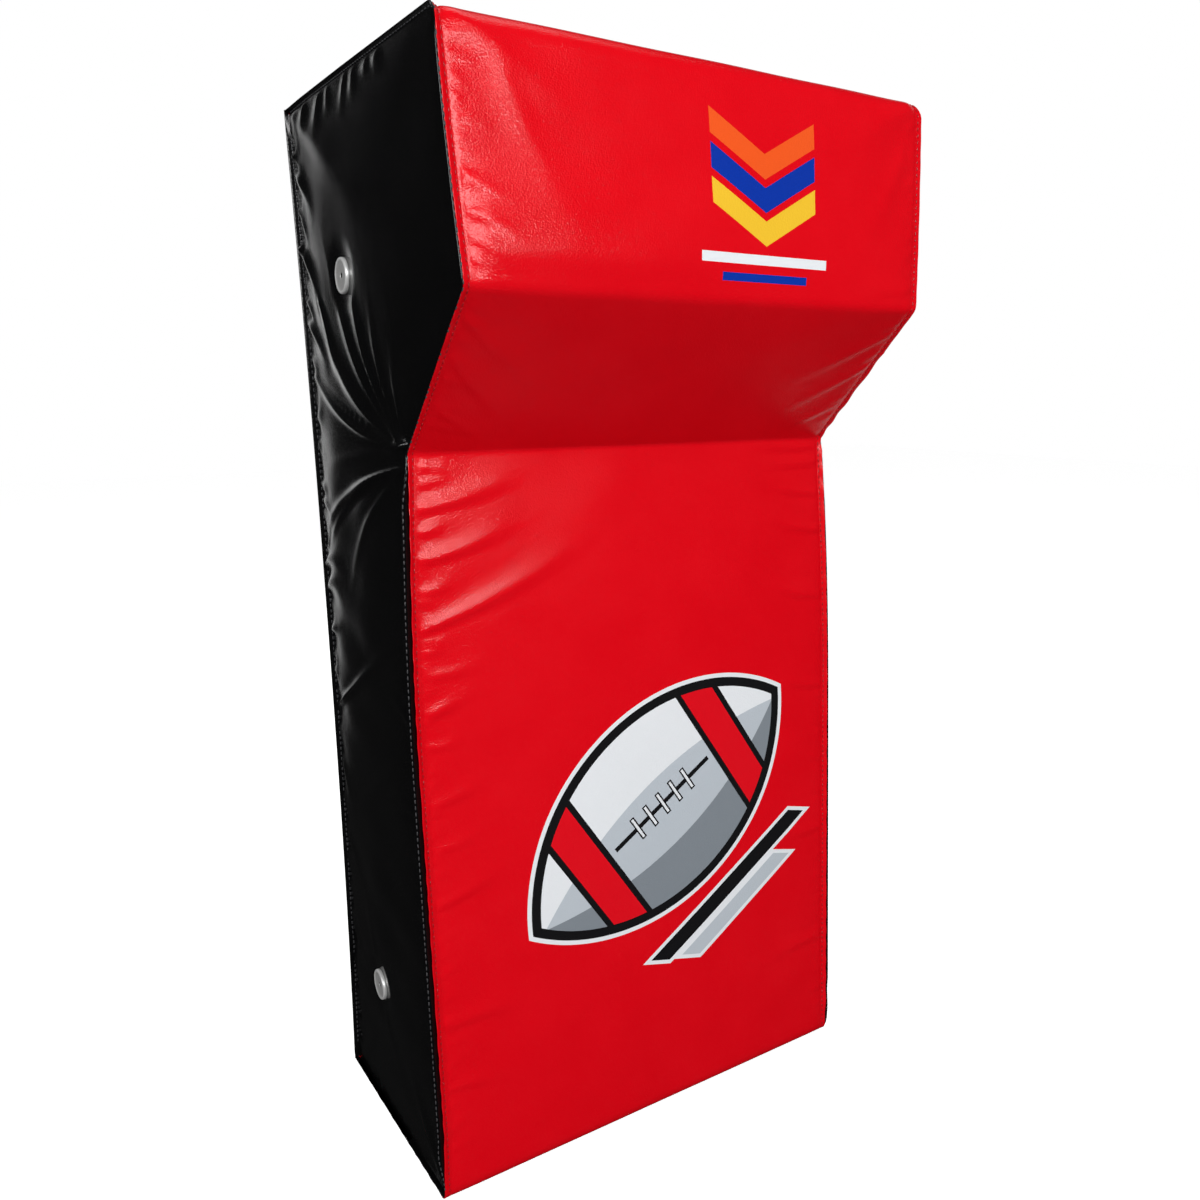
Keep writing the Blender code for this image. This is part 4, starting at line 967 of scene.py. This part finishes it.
def grow_lip(bm, edges, feet):
    """Grows a lip from a panel's edges. Each vertex has its foot, its way out and its outer face."""
    for vert, (foot, points, square) in feet.items():
        vert.co = foot + square * SHEET * OUTER_FACE
    for out, face in lip_columns:
        grown = bmesh.ops.extrude_edge_only(bm, edges=edges)["geom"]
        fresh = {}
        for vert in verts_of(grown):
            parent = next(e.other_vert(vert) for e in vert.link_edges if e.other_vert(vert) in feet)
            foot, points, square = feet[parent]
            vert.co = foot + points * LIP * out + square * SHEET * face
            fresh[vert] = feet[parent]
        edges = [e for e in grown if isinstance(e, bmesh.types.BMEdge) and all(v in fresh for v in e.verts)]
        feet = fresh


def side_panel(side):
    """A grid over the side, from the front seam to the back seam, with its edges turned out."""
    shares, heights = np.meshgrid(side_shares, side_heights)
    front = np.interp(heights, seam_face[:, 1], seam_face[:, 0])
    depths = front + (BACK - front) * shares
    widths = seam_half_width(depths, heights) + side_lift(depths, heights)
    bm, cells = row_grid(len(side_heights), len(side_shares))
    for vert, row, column in cells:
        vert.co = (side * widths[row, column], depths[row, column], heights[row, column])
    rim = [edge for edge in bm.edges if edge.is_boundary]
    feet = {}
    for vert in {v for edge in rim for v in edge.verts}:
        y, z = vert.co.y, vert.co.z
        if y > BACK - 0.0003:
            tilt = smooth_step(0.03, 0.0, HEIGHT - z) * (math.pi / 2)
            normal = (math.cos(tilt), math.sin(tilt)) if z > 0.5 else (1.0, 0.0)
        else:
            normal = seam_normals[int(np.argmin(np.hypot(seam_run[:, 0] - y, seam_run[:, 1] - z)))]
        reach = float(black_reach(side, y, z))
        if z > HEIGHT - 0.004 and y < BACK - 0.0003:
            reach = 0.90
        foot, points, square = seam_frame(side, y, z, normal, True)
        feet[vert] = (foot, points * reach, -square)
    grow_lip(bm, rim, feet)
    for vert in bm.verts:
        vert.co.z = max(vert.co.z, 0.0)
    face_towards(bm, (side * HALF_WIDTH, 0, 0.4), (side, 0, 0))
    return bm


SIDES = ((-1, "left"), (1, "right"))
for side, name in SIDES:
    piece = finish_piece("side_" + name, side_panel(side), [black_vinyl])
    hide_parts("side_panel_" + name)

# Back panel
# A flat piece of black vinyl closes the back. The strip's two ends lap over it, and a slot across
# it, close to the base, opens on the zip.
SLOT_HALF = 0.0075
SLOT_REACH = 0.188
STRAP_HEIGHTS = {"lower": 0.345, "upper": 0.615}
PATCH_MIDDLE = 0.144
BACK_STEP = 0.0045
BACK_SHEET_TOP = 0.896
UNDER_LAP = 0.886


def back_panel():
    slot_low, slot_high = ZIP_HEIGHT - SLOT_HALF, ZIP_HEIGHT + SLOT_HALF
    heights = np.unique(np.round(np.concatenate([
        np.arange(0.0040, slot_low - 0.001, BACK_STEP), [slot_low - 0.001, slot_low],
        [slot_high, slot_high + 0.001],
        np.arange(slot_high + 0.005, BACK_SHEET_TOP, BACK_STEP), [BACK_SHEET_TOP],
    ]), 6))
    across = np.unique(np.round(np.concatenate([
        [0, 0.0008, 0.0018, 0.0032, 0.0050, 0.0075], np.arange(0.0105, 0.0180, 0.0025), [0.0195, 0.0205],
        np.arange(0.024, HALF_WIDTH, BACK_STEP), [HALF_WIDTH],
    ]), 6))
    across = np.concatenate([across - HALF_WIDTH, (HALF_WIDTH - across)[-2::-1]])
    xs, zs = np.meshgrid(across, heights)
    inward = HALF_WIDTH - np.abs(xs)
    off_zip = smooth_step(0.010, 0.040, np.abs(zs - ZIP_HEIGHT))
    clear = np.ones_like(xs)
    for strap_height in STRAP_HEIGHTS.values():
        for side in (-1, 1):
            reach = np.maximum(np.abs(xs - side * PATCH_MIDDLE) - 0.036, np.abs(zs - strap_height) - 0.040)
            clear *= smooth_step(0.0, 0.030, reach)
    source = random.Random(31)
    table = []
    for side in (-1, 1):
        table += puckers(source, side * (HALF_WIDTH - 0.003), (-side, 0),
                         0.03, 0.88, 0.022, 0.022, 0.0, 0.0042, 0.0008)
    table += puckers(source, UNDER_LAP, (0, -1), -0.18, 0.18, 0.030, 0.030, 0.0, 0.0050, 0.0006)
    lift = creases(xs, zs, table) * smooth_step(0, 0.005, inward) + 0.0009 * ripple(xs, zs, 17, 0.13)
    lift *= smooth_step(0.0, 0.02, inward)
    lift *= smooth_step(UNDER_LAP, 0.86, zs) * smooth_step(0.014, 0.04, zs)
    lift = lift * off_zip * clear
    widths = seam_half_width(np.full_like(xs, BACK), zs) / HALF_WIDTH
    bm, cells = row_grid(len(heights), len(across))
    for vert, row, column in cells:
        vert.co = (xs[row, column] * widths[row, column], BACK + lift[row, column], heights[row])
    slot = [face for face in bm.faces if abs(face.calc_center_median().z - ZIP_HEIGHT) < SLOT_HALF
            and abs(face.calc_center_median().x) < SLOT_REACH - 0.0005]
    bmesh.ops.delete(bm, geom=slot, context="FACES")
    rim = [edge for edge in bm.edges if edge.is_boundary]
    hole = [e for e in rim if abs(e.verts[0].co.x) < 0.195 and abs(e.verts[0].co.z - ZIP_HEIGHT) < 0.02]
    turned = bmesh.ops.extrude_edge_only(bm, edges=hole)["geom"]
    for vert in verts_of(turned):
        vert.co.y -= SHEET
    sides = [e for e in rim if all(abs(v.co.x) > 0.197 for v in e.verts) and e not in hole
             and abs(e.verts[0].co.z - e.verts[1].co.z) > 1e-4]
    feet = {}
    for vert in {v for edge in sides for v in edge.verts}:
        side = 1 if vert.co.x > 0 else -1
        feet[vert] = seam_frame(side, BACK, vert.co.z, (1.0, 0.0))
    grow_lip(bm, sides, feet)
    face_towards(bm, (0, BACK, 0.45), (0, 1, 0))
    return bm


back_piece = finish_piece("back_sheet", back_panel(), [black_vinyl])
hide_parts("back_panel")

# Stitching
# Bonded thread, red through the strip and black through the panels, in stitches of 5.2 mm. Each
# stitch is a small flattened lozenge laid along the seam.
STITCH = 0.0052


def thread_material(name, colour):
    made, tree, shader = new_material(name)
    shader.inputs["Roughness"].default_value = 0.24
    place = add_node(tree, "TexCoord")
    strands = add_node(tree, "TexNoise", {"Scale": 3000})
    tint = blend(tree, [c * 0.6 for c in colour], colour)
    wire(
        tree, (place, "Object", strands, "Vector"), (strands, 0, tint, 0),
        (tint, 2, shader, "Base Color"),
    )
    return made


red_thread = thread_material("red_thread", (0.55, 0.014, 0.020))
black_thread = thread_material("black_thread", (0.07, 0.07, 0.075))

one_stitch = bmesh.new()
bmesh.ops.create_uvsphere(one_stitch, u_segments=6, v_segments=5, radius=1,
                          matrix=Matrix.Rotation(math.radians(90), 4, "Y"))
stitch_data = bpy.data.meshes.new("one_stitch")
one_stitch.to_mesh(stitch_data)
one_stitch.free()


def stitch_row(bm, places, faces_out, length=0.0036, width=0.0012, start=0.3):
    """Lays stitches along a line of places, each square to the way out at its place."""
    first = len(bm.verts)
    turns = []
    steps = [0.0]
    for a, b in zip(places, places[1:]):
        steps.append(steps[-1] + (b - a).length)
    spot = STITCH * start
    n = 0
    while spot < steps[-1] - STITCH * 0.3:
        while steps[n + 1] < spot:
            n += 1
        share = (spot - steps[n]) / max(steps[n + 1] - steps[n], 1e-9)
        middle = places[n].lerp(places[n + 1], share)
        ahead = (places[n + 1] - places[n]).normalized()
        out = faces_out[n].lerp(faces_out[n + 1], share)
        out = (out - ahead * out.dot(ahead)).normalized()
        across = ahead.cross(out)
        turn = Matrix((ahead * length / 2, across * width / 2, out * width * 0.42)).transposed().to_4x4()
        turns.append(Matrix.Translation(middle) @ turn)
        bm.from_mesh(stitch_data)
        spot += STITCH
    bm.verts.ensure_lookup_table()
    each = len(stitch_data.vertices)
    for n, turn in enumerate(turns):
        for vert in bm.verts[first + n * each:first + (n + 1) * each]:
            vert.co = turn @ vert.co


def back_stitches(bm, places):
    """A row that lies flat on the back."""
    stitch_row(bm, places, [Vector((0, 1, 0))] * len(places))


def seam_places(side, run, normals, face, first, last):
    places, outs = [], []
    for (y, z), normal in list(zip(run, normals))[first:last]:
        foot, points, square = seam_frame(side, y, z, normal)
        places.append(foot + points * 0.0013 + square * face * SHEET * 1.30)
        out = square * face - points * 0.35
        outs.append(out.normalized() if square.length > 0 else Vector((side, 0, 0)))
    return places, outs


def binding_places(side, first, last):
    """The second row: along the black half of the lip, past the red half's edge."""
    places, outs = [], []
    for (y, z), normal in list(zip(seam_run, seam_normals))[first:last]:
        if z > HEIGHT - 0.004:
            continue
        foot, points, square = seam_frame(side, y, z, normal, True)
        reach = float(black_reach(side, y, z))
        places.append(foot + points * (LIP * reach - 0.0009) + square * SHEET * 0.25)
        outs.append(square.normalized())
    return places, outs


for side, name in SIDES:
    ending_run = int(np.argmin(np.hypot(seam_run[:, 0] - BASE_FRONT.x, seam_run[:, 1] - 0.006)))
    red_row, black_row = bmesh.new(), bmesh.new()
    stitch_row(red_row, *seam_places(side, seam_run, seam_normals, 1, 4, ending_run))
    stitch_row(black_row, *seam_places(side, seam_run, seam_normals, -1, 4, ending_run), start=0.8)
    stitch_row(black_row, *binding_places(side, 4, ending_run), start=0.1)
    back_heights = np.arange(0.014, 0.888, 0.002)
    back_run = np.stack([np.full_like(back_heights, BACK), back_heights], axis=1)
    back_normals = np.tile([1.0, 0.0], (len(back_run), 1))
    stitch_row(black_row, *seam_places(side, back_run, back_normals, 1, 0, None))
    stitch_row(black_row, *seam_places(side, back_run, back_normals, -1, 0, None), start=0.8)
    finish_piece("red_stitches_" + name, red_row, [red_thread])
    finish_piece("black_stitches_" + name, black_row, [black_thread])

lap_row = bmesh.new()
for height in (HEIGHT - 0.009, 0.009):
    back_stitches(lap_row, [Vector((x, BACK + 0.0013, height)) for x in np.arange(-0.200, 0.2001, 0.004)])
finish_piece("lap_stitches", lap_row, [red_thread])

slot_row = bmesh.new()
SLOT_STITCH_GAP = 0.0030
SLOT_STITCH_REACH = 0.1915
for height in (ZIP_HEIGHT - SLOT_HALF - SLOT_STITCH_GAP, ZIP_HEIGHT + SLOT_HALF + SLOT_STITCH_GAP):
    xs = np.arange(-SLOT_STITCH_REACH, SLOT_STITCH_REACH + 0.0001, 0.004)
    back_stitches(slot_row, [Vector((x, BACK + 0.0002, height)) for x in xs])
for x in (-SLOT_STITCH_REACH, SLOT_STITCH_REACH):
    zs = np.arange(ZIP_HEIGHT - 0.0095, ZIP_HEIGHT + 0.0096, 0.002)
    back_stitches(slot_row, [Vector((x, BACK + 0.0002, z)) for z in zs])
finish_piece("slot_stitches", slot_row, [black_thread])

# Zip
# A coarse moulded zip behind the slot: two woven tapes with black teeth, pressed metal stops at
# both ends, and a cast slider with its pull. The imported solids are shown, in better finishes.


def zip_tape_material():
    """Herringbone tape, and smooth moulded teeth along its middle."""
    made, tree, shader = new_material("zip_tape_weave")
    place = add_node(tree, "TexCoord")
    apart = add_node(tree, "SeparateXYZ")
    from_chain = add_node(tree, "Math", {1: ZIP_HEIGHT}, operation="SUBTRACT")
    distance = add_node(tree, "Math", operation="ABSOLUTE")
    woven = add_node(tree, "Math", {1: 0.0041}, operation="GREATER_THAN")
    weave = add_node(tree, "TexWave", {"Scale": 420, "Distortion": 1.5}, wave_type="BANDS",
                     bands_direction="DIAGONAL")
    tint = blend(tree, (0.006, 0.006, 0.007), (0.022, 0.022, 0.024))
    mask = add_node(tree, "Math", operation="MULTIPLY")
    rough = add_node(tree, "MapRange", {"To Min": 0.30, "To Max": 0.85})
    bump = add_node(tree, "Bump", {"Distance": 0.0002})
    wire(
        tree, (place, "Object", apart, 0), (apart, "Z", from_chain, 0),
        (from_chain, 0, distance, 0), (distance, 0, woven, 0),
        (place, "Object", weave, "Vector"), (weave, "Fac", mask, 0), (woven, 0, mask, 1),
        (mask, 0, tint, 0), (tint, 2, shader, "Base Color"), (woven, 0, rough, "Value"),
        (rough, 0, shader, "Roughness"), (mask, 0, bump, "Height"), (bump, 0, shader, "Normal"),
    )
    return made


def brushed_metal(name, colour, rough_low, rough_high, scale, bump_height, metallic=1.0):
    """Plated metal with fine handling marks."""
    made, tree, shader = new_material(name)
    shader.inputs["Metallic"].default_value = metallic
    place = add_node(tree, "TexCoord")
    marks = add_node(tree, "TexNoise", {"Scale": scale, "Detail": 5})
    rough = add_node(tree, "MapRange",
                     {"From Min": 0.3, "From Max": 0.7, "To Min": rough_low, "To Max": rough_high})
    tint = blend(tree, [c * 0.86 for c in colour], colour)
    bump = add_node(tree, "Bump", {"Distance": bump_height})
    wire(
        tree, (place, "Object", marks, "Vector"), (marks, 0, rough, "Value"),
        (marks, 0, tint, 0), (tint, 2, shader, "Base Color"), (rough, 0, shader, "Roughness"),
        (marks, 0, bump, "Height"), (bump, 0, shader, "Normal"),
    )
    return made


zip_weave = zip_tape_material()
zip_nickel = brushed_metal("zip_nickel", (0.66, 0.65, 0.62), 0.22, 0.40, 500, 0.00002)
for node in ("zip_tape_upper", "zip_tape_lower"):
    nodes[node].material_slots[0].material = zip_weave
for node in ("zip_bottom_stop", "zip_top_stop_upper", "zip_top_stop_lower", "zip_slider", "zip_pull"):
    nodes[node].material_slots[0].material = zip_nickel

# Vents
# Four pressed metal eyelets let the foam breathe, two on each side: a dished cap with a rolled
# rim and a small hole, clinched over a washer inside the panel.
vent_nickel = brushed_metal("vent_nickel", (0.92, 0.92, 0.91), 0.34, 0.42, 320, 0.00001, 0.45)
# the face inside the dish is the rim's metal painted darker and rougher: painted shade in the dish, set
# against the lit rim
vent_face_painted_shade = brushed_metal("vent_face_painted_shade", (0.74, 0.74, 0.73), 0.40, 0.52, 320, 0.00002, 0.60)
# near-black for the hole's wall and for a disc set at its bottom: painted shade inside the hole
hole_painted_shade = new_material("vent_hole_painted_shade")[0]
hole_shader = hole_painted_shade.node_tree.nodes["Principled BSDF"]
hole_shader.inputs["Base Color"].default_value = (0.004, 0.004, 0.004, 1)
hole_shader.inputs["Roughness"].default_value = 0.8
VENT_RADIUS = 0.0140
VENT_DISH = 0.0116
VENT_HOLE = 0.0021
VENT_SINK = 0.0010


def cad_side(depth, height):
    """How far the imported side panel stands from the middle, without the swell of the visual one."""
    return float(seam_half_width(depth, height) + side_crown(depth, height))


def vent_place(side, depth, height):
    """The vent's own frame on the side: its middle, with its third axis pointing out."""
    step = VENT_RADIUS

    def at(y, z):
        return Vector((side * cad_side(y, z), y, z))

    swell = float(side_swell(depth, height))
    along = at(depth + step, height) - at(depth - step, height)
    upward = at(depth, height + step) - at(depth, height - step)
    out = (along.cross(upward) * side).normalized()
    upward = (upward - out * upward.dot(out)).normalized()
    turned = Matrix((upward.cross(out), upward, out)).transposed().to_4x4()
    return Matrix.Translation(at(depth, height) + out * (swell - VENT_SINK)) @ turned


def vent_cap(at):
    """The cap, spun from its section about its own axis."""
    hole = [(0.0020, 0.0012), (VENT_HOLE, 0.0028), (0.0025, 0.0032), (0.0032, 0.0033)]
    dish = [(0.0060, 0.0033), (0.0095, 0.0034), (0.0108, 0.0035), (0.0114, 0.0038)]
    rim = [(0.0120, 0.00415), (0.0127, 0.0042), (0.0133, 0.0040), (0.0138, 0.0034), (VENT_RADIUS, 0.0026)]
    wall = [(VENT_RADIUS, 0.0016), (0.0138, 0.0008), (0.0133, 0.0002), (0.0128, 0.0)]
    section = hole + dish + rim + wall
    bm = bmesh.new()
    verts = [bm.verts.new((radius, 0, height)) for radius, height in section]
    edges = [bm.edges.new(pair) for pair in zip(verts, verts[1:])]
    bmesh.ops.spin(bm, geom=verts + edges, cent=(0, 0, 0), axis=(0, 0, 1), angle=math.tau, steps=72,
                   use_merge=True, use_duplicate=False)
    bmesh.ops.remove_doubles(bm, verts=bm.verts, dist=1e-6)
    bmesh.ops.recalc_face_normals(bm, faces=bm.faces)
    # a near-black disc closes the hole a little under the face, painted shade where one would look into it
    floor_of_hole = bmesh.ops.create_circle(
        bm, cap_ends=True, segments=24, radius=VENT_HOLE, matrix=Matrix.Translation((0, 0, 0.0014)))["verts"]
    for face in {f for v in floor_of_hole for f in v.link_faces}:
        face.material_index = 1
    for face in bm.faces:
        from_axis = face.calc_center_median().xy.length
        # the hole's wall takes the near-black painted shade
        if from_axis < VENT_HOLE:
            face.material_index = 1
        # faces inside the dish take the darker copy, the painted shade of the dish
        elif from_axis < VENT_DISH:
            face.material_index = 2
    bmesh.ops.transform(bm, matrix=at, verts=bm.verts)
    bm.normal_update()
    outward = at.to_3x3() @ Vector((0, 0, 1))
    top = [f for f in bm.faces
           if (f.calc_center_median() - at.translation).length < 0.010 and f.material_index == 2]
    if sum(f.normal.dot(outward) for f in top) < 0:
        bmesh.ops.reverse_faces(bm, faces=bm.faces)
    return bm


for side, side_name in SIDES:
    for (depth, height), level in zip(VENT_PLACES, ("upper", "lower")):
        node = f"vent_cap_{level}_{side_name}"
        piece = finish_piece(node + "_spun", vent_cap(vent_place(side, depth, height)),
                             [vent_nickel, hole_painted_shade, vent_face_painted_shade])
        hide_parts(node)
        nodes[f"vent_washer_{level}_{side_name}"].material_slots[0].material = vent_nickel

# Arm straps
# Two loops of webbing for the forearm. Their ends lie on vinyl patches and are sewn down through
# the back with boxed crosses, and a padded vinyl sleeve goes round each grip.


def webbing_material():
    """Flat woven polypropylene webbing: warp ribs along it and picks across."""
    made, tree, shader = new_material("webbing_weave")
    place = add_node(tree, "UVMap", uv_map="webbing")
    ribs = add_node(tree, "TexWave", {"Scale": 210}, bands_direction="Y")
    picks = add_node(tree, "TexWave", {"Scale": 260}, bands_direction="X")
    both = add_node(tree, "Math", operation="MULTIPLY")
    tint = blend(tree, (0.005, 0.005, 0.006), (0.030, 0.030, 0.033))
    rough = add_node(tree, "MapRange", {"To Min": 0.75, "To Max": 0.5})
    bump = add_node(tree, "Bump", {"Distance": 0.0004})
    wire(
        tree, (place, 0, ribs, "Vector"), (place, 0, picks, "Vector"), (ribs, "Fac", both, 0),
        (picks, "Fac", both, 1), (both, 0, tint, 0), (both, 0, rough, "Value"),
        (both, 0, bump, "Height"), (tint, 2, shader, "Base Color"),
        (rough, 0, shader, "Roughness"), (bump, 0, shader, "Normal"),
    )
    return made


webbing = webbing_material()
STRAP_ON_PATCH = 0.00285
STRAP_OUT = 0.045
STRAP_END = 0.168
STRAP_RISES = 0.120
GRIP_HALF = 0.072
strap_half = [(GRIP_HALF, STRAP_OUT), (STRAP_RISES, STRAP_ON_PATCH), (STRAP_END, STRAP_ON_PATCH)]
strap_corners = [Vector((-x, y)) for x, y in strap_half[::-1]] + [Vector(corner) for corner in strap_half]
strap_run, strap_steps = rounded_run(strap_corners, [0.018, 0.030, 0.030, 0.018], 0.0022)
WEBBING_HALF = 0.0250
WEBBING_THICK_HALF = 0.00125


def strap(height):
    """The webbing: its rounded section carried along its run."""
    flat_end, bend = (WEBBING_HALF - 0.0010, WEBBING_THICK_HALF), (WEBBING_HALF - 0.0003, 0.0009)
    section = [(-WEBBING_HALF, 0.0)] + [(-up, out) for up, out in (bend, flat_end)] + [flat_end, bend]
    # the other half is this one, turned about the middle
    section += [(-up, -out) for up, out in section]
    run_out = run_normals(strap_run) * -1
    across = len(section)
    bm, cells = row_grid(len(strap_run), across + 1)
    spots = {}
    for vert, row, column in cells:
        up, out = section[column % across]
        x, y = strap_run[row] + run_out[row] * out
        vert.co = (x, BACK + y, height + up)
        spots[vert] = (strap_steps[row], up)
    lay_flat(bm, "webbing", spots)
    bmesh.ops.remove_doubles(bm, verts=bm.verts, dist=1e-6)
    bmesh.ops.holes_fill(bm, edges=[e for e in bm.edges if e.is_boundary], sides=across)
    bmesh.ops.recalc_face_normals(bm, faces=bm.faces)
    return bm


PATCH_WIDTH = 0.066
PATCH_HEIGHT = 0.074
PATCH_THICK = 0.0010


def patch(x, height):
    """A vinyl patch with rounded corners, a little soft at its rim."""
    bm = bmesh.new()
    bmesh.ops.create_cube(bm, size=1, matrix=Matrix.Translation((x, BACK + SHEET, height))
                          @ Matrix.Diagonal((PATCH_WIDTH, PATCH_THICK, PATCH_HEIGHT, 1)))
    corners = [e for e in bm.edges if abs(e.verts[0].co.y - e.verts[1].co.y) > 0.0005]
    bmesh.ops.bevel(bm, geom=corners, offset=0.010, segments=6, profile=0.5, affect="EDGES", material=-1)
    rim = [e for e in bm.edges if all(v.co.y > BACK + 0.001 for v in e.verts)]
    bmesh.ops.bevel(bm, geom=rim, offset=0.0004, segments=2, profile=0.5, affect="EDGES", material=-1)
    return bm


sleeve_vinyl = vinyl("sleeve_vinyl", (0.0058, 0.0058, 0.0062), (0.0045, 0.0045, 0.0048),
                     0.28, 0.40, 0.00005, 0.5)


def sleeve(height):
    """The padded sleeve: a flattened tube, full in the middle and drawn in at both hems."""
    ring, steps = 56, 64
    half, half_height, half_thick, power = 0.0597, 0.0325, 0.0088, 0.55
    source = random.Random(int(height * 1000))
    marks = [(source.uniform(0, math.tau), source.uniform(0.5, 1.0), source.choice((-1, 1)))
             for n in range(26)]
    bm, cells = row_grid(steps + 1, ring + 1)
    for vert, row, column in cells:
        angle = (column % ring) / ring * math.tau
        t = row / steps * 2 - 1
        draw = 1 - 0.10 * abs(t) ** 3 - 0.32 * max(0.0, abs(t) - 0.93) / 0.07
        up = math.copysign(abs(math.sin(angle)) ** power, math.sin(angle)) * half_height
        out = math.copysign(abs(math.cos(angle)) ** power, math.cos(angle)) * half_thick
        pucker = 0.0
        for around, strength, end in marks:
            gap = (angle - around + math.pi) % math.tau - math.pi
            fade = max(0.0, t * end - 0.45) / 0.55
            pucker += strength * math.exp(-((gap / 0.085) ** 2)) * fade
        grow = draw - 0.055 * pucker
        vert.co = (half * t, BACK + STRAP_OUT + out * grow, height + up * (0.5 + 0.5 * grow))
    bmesh.ops.remove_doubles(bm, verts=bm.verts, dist=1e-6)
    ends = [e for e in bm.edges if e.is_boundary]
    # each end turns in over its hem: shares of the thickness, the height and the length
    for thick_share, height_share, length_share in ((0.75, 0.94, 0.995), (0.55, 0.90, 0.97)):
        grown = bmesh.ops.extrude_edge_only(bm, edges=ends)["geom"]
        for vert in verts_of(grown):
            vert.co.y = BACK + STRAP_OUT + (vert.co.y - BACK - STRAP_OUT) * thick_share
            vert.co.z = height + (vert.co.z - height) * height_share
            vert.co.x *= length_share
        ends = [e for e in grown if isinstance(e, bmesh.types.BMEdge) and e.is_boundary]
    bmesh.ops.recalc_face_normals(bm, faces=bm.faces)
    return bm


def sew_line(bm, start, end, step=0.002):
    count = max(2, int((end - start).length / step))
    back_stitches(bm, [start.lerp(end, n / count) for n in range(count + 1)])


def box_corners(low, high, depth, middle, half_height):
    corners = ((low, -half_height), (high, -half_height), (high, half_height), (low, half_height))
    return [Vector((x, depth, middle + z)) for x, z in corners]


for level, height in STRAP_HEIGHTS.items():
    piece = finish_piece("webbing_" + level, strap(height), [webbing])
    piece.data.set_sharp_from_angle(angle=math.radians(50))
    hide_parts("arm_strap_" + level)
    piece = finish_piece("sleeve_" + level, sleeve(height), [sleeve_vinyl])
    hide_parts("strap_sleeve_" + level)
    rows = bmesh.new()
    for side, side_name in SIDES:
        ending = f"{level}_{side_name}"
        middle = side * PATCH_MIDDLE
        piece = finish_piece("patch_" + ending, patch(middle, height), [black_vinyl])
        piece.data.set_sharp_from_angle(angle=math.radians(40))
        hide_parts("strap_patch_" + ending)
        on_patch, on_strap = BACK + 0.0014, BACK + 0.0042
        round_patch = box_corners(middle - 0.0295, middle + 0.0295, on_patch, height, 0.0335)
        for a, b in zip(round_patch, round_patch[1:] + round_patch[:1]):
            inset = (b - a).normalized() * 0.007
            sew_line(rows, a + inset, b - inset)
        boxed = box_corners(side * 0.127, side * 0.164, on_strap, height, 0.020)
        # its four sides, and both diagonals
        for a, b in zip(boxed + boxed[:2], boxed[1:] + boxed[:1] + boxed[2:]):
            sew_line(rows, a, b)
    finish_piece("strap_stitches_" + level, rows, [black_thread])
